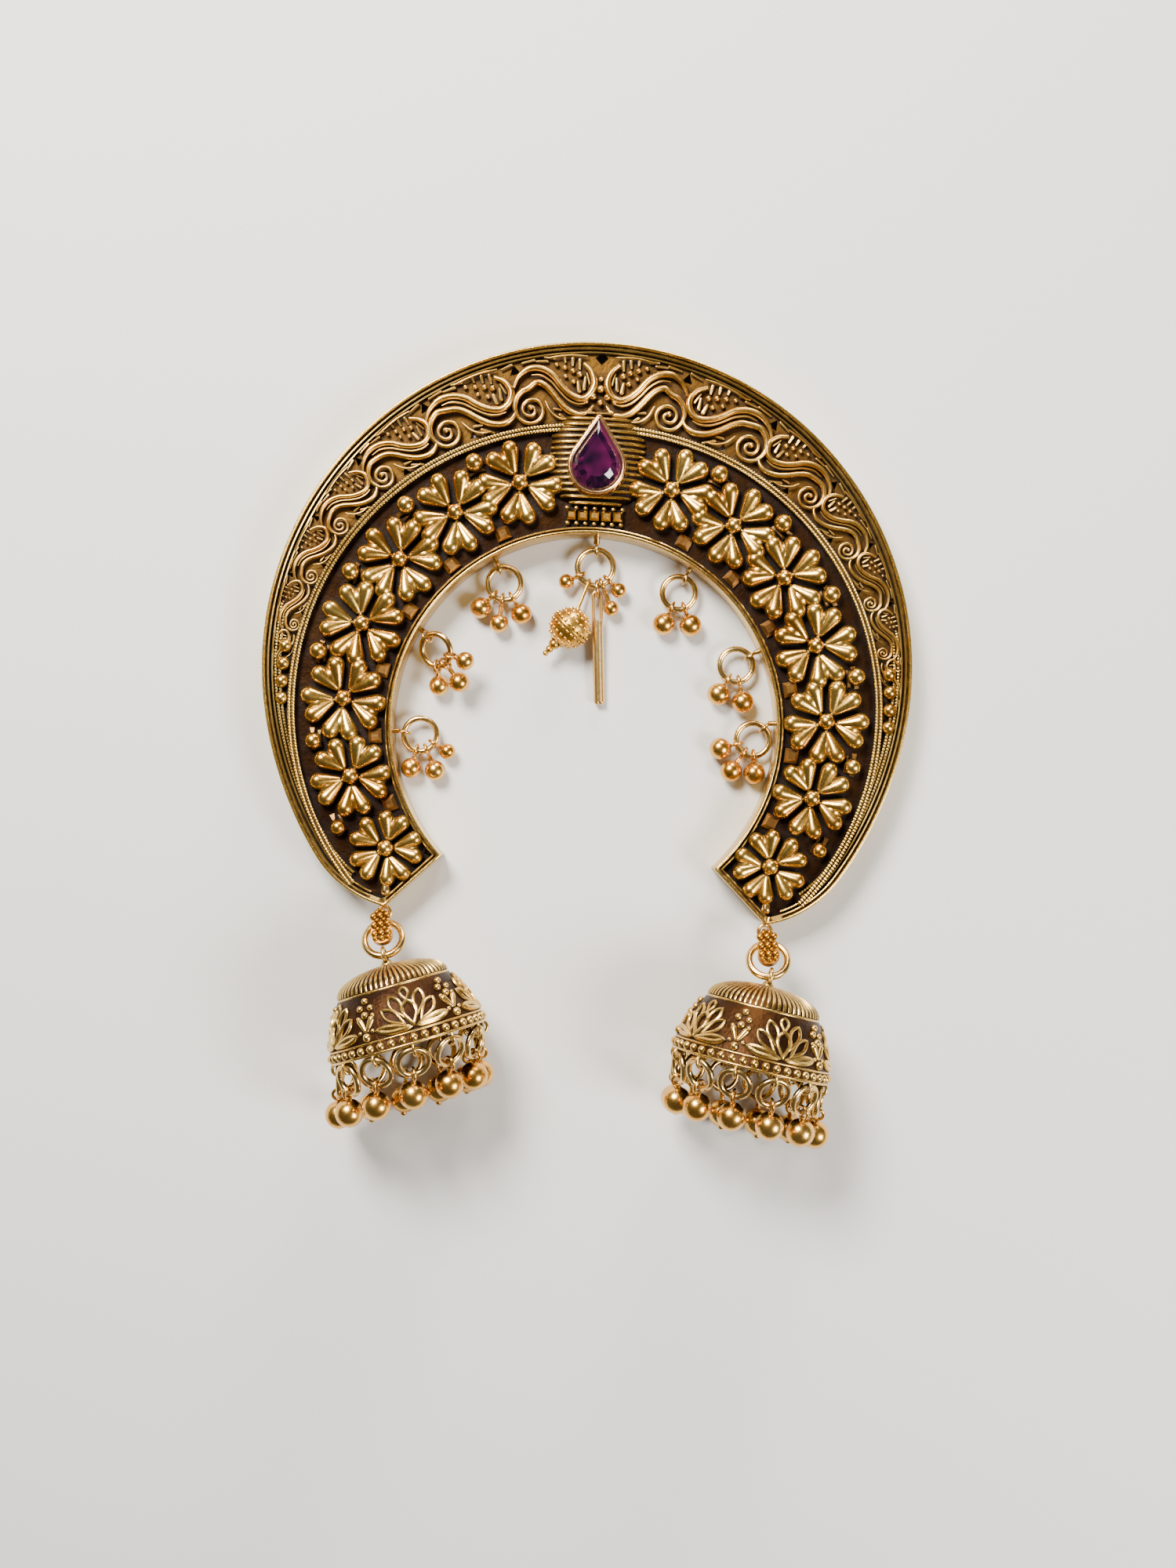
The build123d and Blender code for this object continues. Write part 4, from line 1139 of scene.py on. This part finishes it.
@dataclass
class Medallion:
    """Ribbed cushion with the pear stone in its collet and a row of beads."""

    centre_y: float = 29.4
    half: float = 6.72
    corner: float = 5.0
    pitch: float = 0.84
    ribs: int = 16
    rib_radius: float = 0.25
    top: float = 5.75
    swell: float = 1.45
    seat_inset: float = 0.64
    facet: float = 1.02
    pear_y: float = 28.1
    pear_radius: float = 4.1
    apex_y: float = 34.75
    apex_radius: float = 0.5

    def half_width(self, rise: float) -> float:
        """Half width of the cushion at a distance above or below its middle."""
        beyond = max(abs(rise) - (self.half - self.corner), 0.0)
        return self.half - self.corner + sqrt(max(self.corner**2 - beyond**2, 0.01))

    def pear(self) -> np.ndarray:
        """Draws the collet's outline.

        Returns:
            Its points, clockwise.
        """
        lean = degrees(np.arccos((self.pear_radius - self.apex_radius) / (self.apex_y - self.pear_y)))
        body = arc((0, self.pear_y), self.pear_radius, 90 - lean, -360 + 2 * lean, 60)
        apex = arc((0, self.apex_y), self.apex_radius, 90 + lean, -2 * lean, 9)
        return np.vstack([body, apex])

    def build(self) -> None:
        """Makes the cushion and its ribs, the collet, the stone and the beads."""
        ribs, core = Sketch(), Sketch()
        for number in range(self.ribs):
            rise = (number - (self.ribs - 1) / 2) * self.pitch
            width = self.half_width(rise) - 0.25
            share = np.linspace(-1, 1, 25)
            sink = 1 - (1 - np.abs(share) ** 5) * (1 - (abs(rise) / (self.half + 0.4)) ** 6)
            height = self.top - self.swell * sink
            line = np.column_stack([share * width, np.full(25, self.centre_y + rise), height])
            ribs.tube(line, self.rib_radius, 10, rise=1.4)
        rings = []
        for shrink, height in ((0.15, 3.95), (0.35, 4.4), (1.6, 5.45), (5.5, 5.6)):
            row = []
            for turn in np.linspace(0, 2 * pi, 48, endpoint=False):
                x, y = cos(turn), sin(turn)
                size = (self.half - shrink) / (x**4 + y**4) ** 0.25
                row.append((x * size, self.centre_y + y * size, height))
            rings.append(row)
        core.sheet(np.array(rings), capped=True)
        ribs.build("medallion_ribs", RIM, Slot.ANTIQUE)
        core.build("medallion_core", FLOOR, Slot.ANTIQUE)
        self._collet()
        self._stone()
        self._row()

    def _collet(self) -> None:
        """Smooth bezel that holds the stone."""
        sketch = Sketch()
        crown = [polar(0.3, turn, (0.33, 6.78)) for turn in range(0, 181, 30)]
        sketch.ribbon(self.pear(), [(0.62, 6.0), *crown, (-0.02, 5.9), (-0.3, 5.4), (0.62, 5.4)])
        sketch.build("collet", BEZEL, Slot.ANTIQUE)

    def _stone(self) -> None:
        """Pear stone cut with a table and three rows of facets."""
        seat = inset(self.pear(), self.seat_inset)
        rim = even_steps(np.vstack([seat, seat[:1]]), self.facet)[:-1]
        middle = np.array([0, self.pear_y + 0.6])
        rings = [at_height(middle + (rim - middle) * 0.96, 6.25), at_height(rim, 6.72)]
        for share, height, shift in ((0.8, 7.48, 0.5), (0.58, 7.95, 0.0)):
            turned = rim * (1 - shift) + np.roll(rim, -1, axis=0) * shift
            rings.append(at_height(middle + (turned - middle) * share, height))
        sketch = Sketch()
        count = len(rim)
        faces = [tuple(range(count))]
        for place in range(count):
            beside = (place + 1) % count
            faces.append((place, place + count, beside + count, beside))
        for place in range(count):
            beside = (place + 1) % count
            faces.append((count + place, 2 * count + place, count + beside))
            faces.append((count + beside, 2 * count + place, 2 * count + beside))
            faces.append((2 * count + place, 3 * count + beside, 2 * count + beside))
            faces.append((2 * count + place, 3 * count + place, 3 * count + beside))
        faces.append(tuple(3 * count + place for place in range(count))[::-1])
        sketch.add(np.vstack(rings), [face[::-1] for face in faces])
        piece = sketch.build("pear_stone", GEM, Slot.STONE, smooth=0)
        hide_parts("stone")

    def _row(self) -> None:
        """Row of square granules under the medallion."""
        sketch = Sketch()
        for number in range(-3, 4):
            if abs(number) < 3:
                sketch.block((number * 1.65, 21.3, 4.75), (1.3, 1.3, 1.5), 0, 0.55)
            sketch.ball((number * 1.25, 20.25, 4.4), 0.36, 12)
            sketch.ball((number * 1.3, 22.35, 4.55), 0.34, 12)
        sketch.build("medallion_row", ANTIQUE, Slot.ANTIQUE, smooth=30)


class Charm(NamedTuple):
    """Eye of a charm on the inner rim and how its ring hangs."""

    name: str
    angle: float
    height: float
    hang: float
    tilt: float


@dataclass
class Fittings:
    """Eyes and stems for the charms and tips, and the clip's two bridges."""

    shoe: Horseshoe
    eye: Pair = (0.85, 0.22)
    tip_eye: Pair = (0.9, 0.28)
    stem: float = 0.35
    root: float = 0.4
    eye_inset: float = 1.45
    charms: tuple[Charm, ...] = (
        Charm("upper_left", 121.0, 1.7, -68, 0),
        Charm("upper_right", 58.6, 1.7, -111, 0),
        Charm("middle_left", 152.9, 3.3, -54, 32),
        Charm("middle_right", 25.9, 1.7, -143, 0),
        Charm("lower_left", 184.4, 1.7, -7, 0),
        Charm("lower_right", 2.5, 1.7, -131, 0),
    )
    centre: Triple = (0.5, 16.95, 1.7)
    tip_height: float = 4.9
    clip_y: float = 31.0
    bridges: Pair = (-12.0, 12.0)

    def build(self) -> None:
        """Makes every eye, stem and bridge of the casting."""
        sketch = Sketch()
        self._rim_eyes(sketch)
        self._tip_eyes(sketch)
        sketch.build("rim_eyes", WIRE, Slot.ANTIQUE)
        self._bridges()

    def _rim_eyes(self, sketch: Sketch) -> None:
        """Eyes of the charms and of the centre group with their stems."""
        middle, radius = self.shoe.inner_centre, self.shoe.inner_radius
        for charm in self.charms:
            hook = np.array((*polar(radius - self.eye_inset, charm.angle, middle), charm.height))
            tilt = radians(charm.tilt)
            across = (*polar(cos(tilt), charm.hang + 90), sin(tilt))
            near = hook - np.array((*polar(self.eye[0], charm.hang), 0))
            turn = degrees(atan2(near[1] - middle[1], near[0]))
            wall = np.array((*polar(radius + self.root, turn, middle), charm.height))
            sketch.ring(tuple(hook), across, *self.eye)
            sketch.tube(np.array([near, wall]), self.stem, 14)
        x, y, height = self.centre
        sketch.ring(self.centre, (1, 0, 0), *self.eye)
        top = (x, middle[1] + radius + self.root, height)
        sketch.tube(np.array([(x, y + self.eye[0], height), top]), 0.45, 14)

    def _tip_eyes(self, sketch: Sketch) -> None:
        """Eyes at the two tips, each with its stem and a drop above it."""
        for side in (1, -1):
            x, y = side * self.shoe.tip[0], self.shoe.tip[1]
            root = (x + side * 0.3, y + 1.2, self.tip_height)
            sketch.ring((x, y - self.tip_eye[0], self.tip_height), (0, 0, 1), *self.tip_eye)
            sketch.tube(np.array([(x, y, self.tip_height), root]), 0.5, 12)
            sketch.drop((x, y + 3.9, 4.7), 0.42, (x, y + 2.2, 4.8), 0.7, 14)

    def _bridges(self) -> None:
        """The two bridges behind the top band that hold the clip."""
        sketch = Sketch()
        for place in self.bridges:
            sketch.block((place, self.clip_y, 2.2), (4.0, 6.8, 0.6), 0, 1.0)
            for side in (1, -1):
                sketch.block((place, self.clip_y + side * 3.0, 2.65), (4.0, 0.8, 1.5), 0, 1.0)
        sketch.build("clip_bridges", SCROLL, Slot.ANTIQUE, smooth=30)


@dataclass
class Bell:
    """Dome bell lying on its side, with lotus wirework and a beaded rim."""

    name: str
    x: float
    y: float
    mouth: float
    first_drop: float
    lean: float = 5.0
    wall_centre: Pair = (-11.25, -4.0)
    wall_radius: float = 22.51
    wall: float = 0.7
    mouth_radius: float = 9.7
    ledge: float = 1.5
    cap_height: float = 7.6
    cap_step: float = 0.4
    cap_radius: float = 7.75
    cap_top: float = 11.3
    crown_sink: float = 0.25
    cap_ribs: int = 62
    rim_beads: int = 44
    bead_ring: float = 10.63
    bead_radius: float = 0.6
    bead_height: float = 0.72
    first_lotus: float = 105.0
    lotuses: int = 5
    drops: int = 12
    eye_ring: float = 10.1
    eye_height: float = -0.8
    eye: Pair = (0.85, 0.22)
    crown_height: float = 12.3
    crown_eye: Pair = (1.05, 0.3)
    ring_slope: float = 36.0
    ring_reach: float = 5.3
    plate_slope: float = 31.0
    tip_drop: float = 1.8
    plate_lift: float = 1.45
    plate_shift: float = 0.35

    def axis(self) -> Axis:
        """Frame of the bell's rim, z towards its crown."""
        flat, lean = radians(self.mouth), radians(self.lean)
        out = Vector((-cos(flat) * cos(lean), -sin(flat) * cos(lean), -sin(lean)))
        across = Vector((sin(flat), -cos(flat), 0))
        rise = self.bead_ring * cos(lean) + self.bead_height * sin(lean) + self.bead_radius
        return Axis(Vector((self.x, self.y, rise)), across, out.cross(across), out)

    def radius_at(self, height: float) -> float:
        """Outer radius of the wall at a height above the rim."""
        return self.wall_centre[0] + sqrt(self.wall_radius**2 - (height - self.wall_centre[1]) ** 2)

    def dome(self, share: float, drop: float = 0.0) -> Pair:
        """Finds a point of the cap's section.

        Args:
            share: 0 at the crown and 1 at the cap's edge.
            drop: How far the point lies below the cap's surface.

        Returns:
            Its radius and its height.
        """
        turn = radians(90 * share)
        foot = self.cap_height + self.cap_step
        rise = self.cap_top - self.crown_sink - foot
        return (self.cap_radius * sin(turn) ** 0.95, foot + rise * cos(turn) ** 0.9 - drop)

    def on_wall(self, turn: float, across: float, height: float, proud: float) -> Triple:
        """Finds a point on the wall.

        Args:
            turn: Turn about the axis, in degrees.
            across: Distance round the wall from that turn.
            height: Height above the rim.
            proud: How far the point stands out of the wall.

        Returns:
            The point in the bell's frame.
        """
        radius = self.radius_at(height) + proud
        return (*polar(radius, turn + degrees(across / radius)), height)

    def build(self) -> None:
        """Makes the bell's wall, cap, wirework, rim beads and eyes."""
        where = self.axis()
        self._wall(where)
        self._cap(where)
        self._lotus(where)
        self._rim(where)
        self._bail(where)

    def _wall(self, where: Axis) -> None:
        """Wall of the bell with its cap and hollow inside."""
        sketch = Sketch()
        outside = [(self.radius_at(height), height) for height in np.linspace(0, self.cap_height, 12)]
        cap = [self.dome(share) for share in np.linspace(1, 0.02, 14)]
        hollow = []
        for share in np.linspace(0.02, 0.93, 12):
            radius, height = self.dome(share, self.wall)
            hollow.append((radius * 0.94, height))
        inside = []
        for height in np.linspace(self.cap_height - 0.3, self.ledge, 9):
            inside.append((self.radius_at(height) - self.wall, height))
        mouth = [(self.mouth_radius, self.ledge), (self.mouth_radius, 0.0)]
        sketch.lathe([*outside, *cap, *hollow, *inside, *mouth])
        piece = sketch.build(f"bell_wall_{self.name}", BELL_WALL, Slot.ANTIQUE, where)
        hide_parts(f"bell_{self.name}")

    def _cap(self, where: Axis) -> None:
        """Fine ribs over the cap, its edge wires, and the crown's stem and eye."""
        sketch = Sketch()
        for number in range(self.cap_ribs):
            turn = number * 360 / self.cap_ribs
            line, radii, ups = [], [], []
            for share in np.linspace(0.1, 0.97, 11):
                radius, height = self.dome(share)
                line.append((*polar(radius, turn), height))
                radii.append(0.42 * pi * radius / self.cap_ribs + 0.04)
                ups.append((*polar(sin(radians(80 * share)), turn), cos(radians(80 * share))))
            sketch.tube(np.array(line), np.array(radii), 7, up=np.array(ups), rise=0.55)
        edge, height = self.dome(1.0)
        for drop, shrink, wire in ((0.1, 0.05, 0.22), (0.55, 0.2, 0.14)):
            sketch.ring((0, 0, height - drop), (0, 0, 1), edge - shrink, wire, 96)
        sketch.drop((0, 0, self.cap_top - 0.5), 0.95, (0, 0, self.cap_top), 0.55, 16)
        stem = [(0, 0, self.cap_top - 0.2), (0, 0, self.crown_height - self.crown_eye[0])]
        sketch.tube(np.array(stem), 0.6, 14, up=(1, 0, 0))
        sketch.ring((0, 0, self.crown_height), (1, 0, 0), *self.crown_eye)
        sketch.build(f"bell_cap_{self.name}", RIM, Slot.ANTIQUE, where)

    def _lotus(self, where: Axis) -> None:
        """Looped wire lotuses up the wall, with granules between them."""
        sketch = Sketch()
        loops = (
            (0.0, 2.2, 0.0, 5.6, 0.95, 0.27), (0.0, 5.6, 0.0, 7.35, 0.55, 0.22),
            (0.85, 3.4, 2.1, 6.6, 0.72, 0.25), (1.1, 2.6, 3.6, 5.1, 0.7, 0.25),
            (0.5, 2.1, 4.9, 2.75, 0.36, 0.38),
        )
        for number in range(self.lotuses):
            turn = self.first_lotus + number * 360 / self.lotuses
            for across, low, far, high, width, wire in loops:
                for side in (1, -1) if far > 1 else (1,):
                    self._loop(sketch, turn, (side * across, low), (side * far, high), width, wire)
            between = turn + 180 / self.lotuses
            for across, height, radius in (
                (0, 6.95, 0.5), (-0.75, 6.1, 0.5), (0.8, 6.0, 0.45), (0, 5.15, 0.55), (0, 2.3, 0.6),
                (-1.1, 4.9, 0.32), (1.1, 5.0, 0.32), (-0.95, 3.0, 0.3), (0.95, 3.0, 0.3),
            ):
                sketch.ball(self.on_wall(between, across, height, 0.12), radius, 12)
            for side in (1, -1):
                start = self.on_wall(between, side * 0.15, 3.2, 0.05)
                sketch.drop(start, 0.3, self.on_wall(between, side * 0.85, 4.5, 0.05), 0.5, 10)
        sketch.build(f"bell_lotus_{self.name}", BELL, Slot.ANTIQUE, where)

    def _loop(self, sketch: Sketch, turn: float, start: Pair, end: Pair, width: float, wire: float) -> None:
        """Almond loop of wire laid on the wall.

        Args:
            sketch: Sketch that it is added to.
            turn: Turn of the lotus about the axis, in degrees.
            start: Foot of the loop, across and up.
            end: Tip of the loop, across and up.
            width: Half width of the loop.
            wire: Radius of the wire.
        """
        run = np.subtract(end, start)
        beside = np.array([-run[1], run[0]]) / np.linalg.norm(run)
        path, ups = [], []
        for share in np.linspace(0, 2, 30, endpoint=False):
            along = share if share < 1 else 2 - share
            bulge = width * sin(pi * along**1.5) ** 0.8 * (1 if share < 1 else -1)
            across, height = np.array(start) + run * along + beside * bulge
            path.append(self.on_wall(turn, across, height, 0.14))
            ups.append((path[-1][0], path[-1][1], 2.0))
        sketch.tube(np.array(path), wire, 8, closed=True, up=np.array(ups))

    def _rim(self, where: Axis) -> None:
        """Beads round the rim between two fine wires, and the drops' eyes."""
        sketch = Sketch()
        for number in range(self.rim_beads):
            turn = (number + 0.5) * 360 / self.rim_beads
            sketch.ball((*polar(self.bead_ring, turn), self.bead_height), self.bead_radius, 14)
        sketch.ring((0, 0, self.ledge), (0, 0, 1), self.radius_at(self.ledge) + 0.02, 0.17, 96)
        sketch.ring((0, 0, 0.02), (0, 0, 1), 10.75, 0.2, 96)
        for number in range(self.drops):
            turn = 90 + self.first_drop + number * 360 / self.drops
            normal = (-sin(radians(turn)), cos(radians(turn)), 0)
            sketch.ring((*polar(self.eye_ring, turn), self.eye_height), normal, *self.eye, 24)
        sketch.build(f"bell_rim_{self.name}", BELL, Slot.ANTIQUE, where)

    def _bail(self, where: Axis) -> None:
        """Grains that fill the bail's plate between its cast granules."""
        crown = where.origin + where.out * self.crown_height
        tip = Vector((TIP[0] * self.x / abs(self.x), TIP[1] - self.tip_drop, 0))
        ahead = (tip - crown).to_2d().normalized().to_3d()
        up = Vector((0, 0, 1))
        slope, incline = radians(self.ring_slope), radians(self.plate_slope)
        hook = crown + (ahead * cos(slope) - up * sin(slope)) * self.ring_reach
        uphill = up * sin(incline) - ahead * cos(incline)
        out = uphill.cross(ahead.cross(up))
        out = out if out.z > 0 else -out
        middle = hook + up * self.plate_lift + uphill * self.plate_shift
        plate = Axis(middle, uphill, out.cross(uphill), out)
        sketch = Sketch()
        for along, across, radius in (
            (-0.68, 0.48, 0.42), (-0.68, -0.48, 0.42), (0.68, 0.48, 0.42), (0.68, -0.48, 0.42),
            (-1.95, 0.42, 0.42), (-1.95, -0.42, 0.42),
            (2.05, 0.9, 0.45), (2.15, 0.0, 0.5), (2.05, -0.9, 0.45), (-2.3, 0.0, 0.3),
        ):
            sketch.ball((along, across, 0.45), radius, 12)
        sketch.build(f"bail_grains_{self.name}", BAIL, Slot.COPPERY, plate)


@dataclass
class GranulatedBall:
    """Grains laid in rows over the ball of the centre group."""

    centre: Triple = (-2.7, 5.6, 3.12)
    radius: float = 2.85
    pole: Triple = (-0.66, -0.75, -0.1)
    rows: int = 9
    spacing: float = 0.78
    grain: float = 0.27

    def build(self) -> None:
        """Makes the grains, row by row from one pole to the other."""
        sketch = Sketch()
        pole = Vector(self.pole).normalized()
        first = pole.orthogonal().normalized()
        second = pole.cross(first)
        for row in range(1, self.rows):
            line = pi * row / self.rows
            count = max(6, int(2 * pi * self.radius * sin(line) / self.spacing))
            for place in range(count):
                turn = 2 * pi * (place + 0.5 * (row % 2)) / count
                out = pole * cos(line) + (first * cos(turn) + second * sin(turn)) * sin(line)
                sketch.ball(tuple(Vector(self.centre) + out * (self.radius - 0.02)), self.grain, 8)
        sketch.build("ball_grains", GRAINED, Slot.COPPERY)


def dress_frame() -> None:
    """Gives every carried-over CAD node the finish of its slot."""
    slots = {row["node"]: Slot(row["material_slot"]) for row in frame["record"]["subparts"]}
    finishes = {Slot.ANTIQUE: WIRE, Slot.COPPERY: COPPER, Slot.STONE: GEM, Slot.CLIP: STEEL}
    special = {"granulated_ball": GRAINED, "centre_rod": ROD, "bail_left": BAIL, "bail_right": BAIL}
    for name, node in frame["nodes"].items():
        finish = special.get(name, finishes[slots.get(name, Slot.ANTIQUE)])
        for holder in node.material_slots:
            holder.material = finish


@dataclass
class Studio:
    """Pale floor, soft lights and the camera of the photograph."""

    camera_x: float = 0.94
    camera_y: float = -16.4
    distance: float = 250.0
    lens: float = 40.0
    roll: float = 2.8

    def build(self) -> None:
        """Sets the floor, the lights and the camera."""
        self._floor()
        self._light("Key softbox", (-0.16, 0.24, 0.34), 0.16, 5.6, (1.0, 0.95, 0.87))
        self._light("Fill softbox", (0.28, -0.12, 0.28), 0.14, 2.0, (1.0, 0.97, 0.93))
        self._light("Back strip", (0.08, 0.4, 0.12), 0.12, 1.8, (1.0, 0.92, 0.82))
        world = bpy.data.worlds.new("Studio")
        bpy.context.scene.world = world
        world.use_nodes = True
        world.node_tree.nodes["Background"].inputs["Color"].default_value = (0.9, 0.88, 0.85, 1)
        world.node_tree.nodes["Background"].inputs["Strength"].default_value = 0.12
        camera = bpy.data.objects.new("Camera", bpy.data.cameras.new("Camera"))
        camera.data.lens = self.lens
        camera.data.clip_start = 0.01
        camera.location = (self.camera_x * MM, (self.camera_y + RISE) * MM, self.distance * MM)
        camera.rotation_euler = (0, 0, radians(self.roll))
        bpy.context.scene.collection.objects.link(camera)
        bpy.context.scene.camera = camera

    def _floor(self) -> None:
        """Plain pale floor."""
        mesh = bpy.data.meshes.new("Floor")
        mesh.from_pydata([(-2, -2, 0), (2, -2, 0), (2, 2, 0), (-2, 2, 0)], [], [(0, 1, 2, 3)])
        floor = bpy.data.objects.new("Floor", mesh)
        bpy.context.scene.collection.objects.link(floor)
        made = bpy.data.materials.new("Pale floor")
        made.use_nodes = True
        shader = made.node_tree.nodes["Principled BSDF"]
        shader.inputs["Base Color"].default_value = (0.72, 0.71, 0.69, 1)
        shader.inputs["Roughness"].default_value = 0.75
        mesh.materials.append(made)

    @staticmethod
    def _light(name: str, place: Triple, size: float, power: float, colour: Colour) -> None:
        """One square softbox aimed at the ornament."""
        lamp = bpy.data.lights.new(name, "AREA")
        lamp.energy, lamp.size, lamp.color = power, size, colour
        lamp_object = bpy.data.objects.new(name, lamp)
        lamp_object.location = place
        lamp_object.rotation_euler = (-Vector(place)).to_track_quat("-Z", "Y").to_euler()
        bpy.context.scene.collection.objects.link(lamp_object)


def main() -> None:
    """Builds the sub-assemblies in order, then the studio."""
    logging.basicConfig(level=logging.INFO, format="%(name)s %(message)s")
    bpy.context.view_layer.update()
    dress_frame()
    shoe = Horseshoe()
    band = ScrollBand(shoe)
    shoe.build(band.holes())
    band.build()
    FlowerBand().build()
    Medallion().build()
    Fittings(shoe).build()
    Bell("left", -21.86, -52.93, -70.9, 10.0).build()
    Bell("right", 24.93, -53.71, -101.1, 14.0).build()
    GranulatedBall().build()
    Studio().build()


if __name__ == "__main__":
    main()
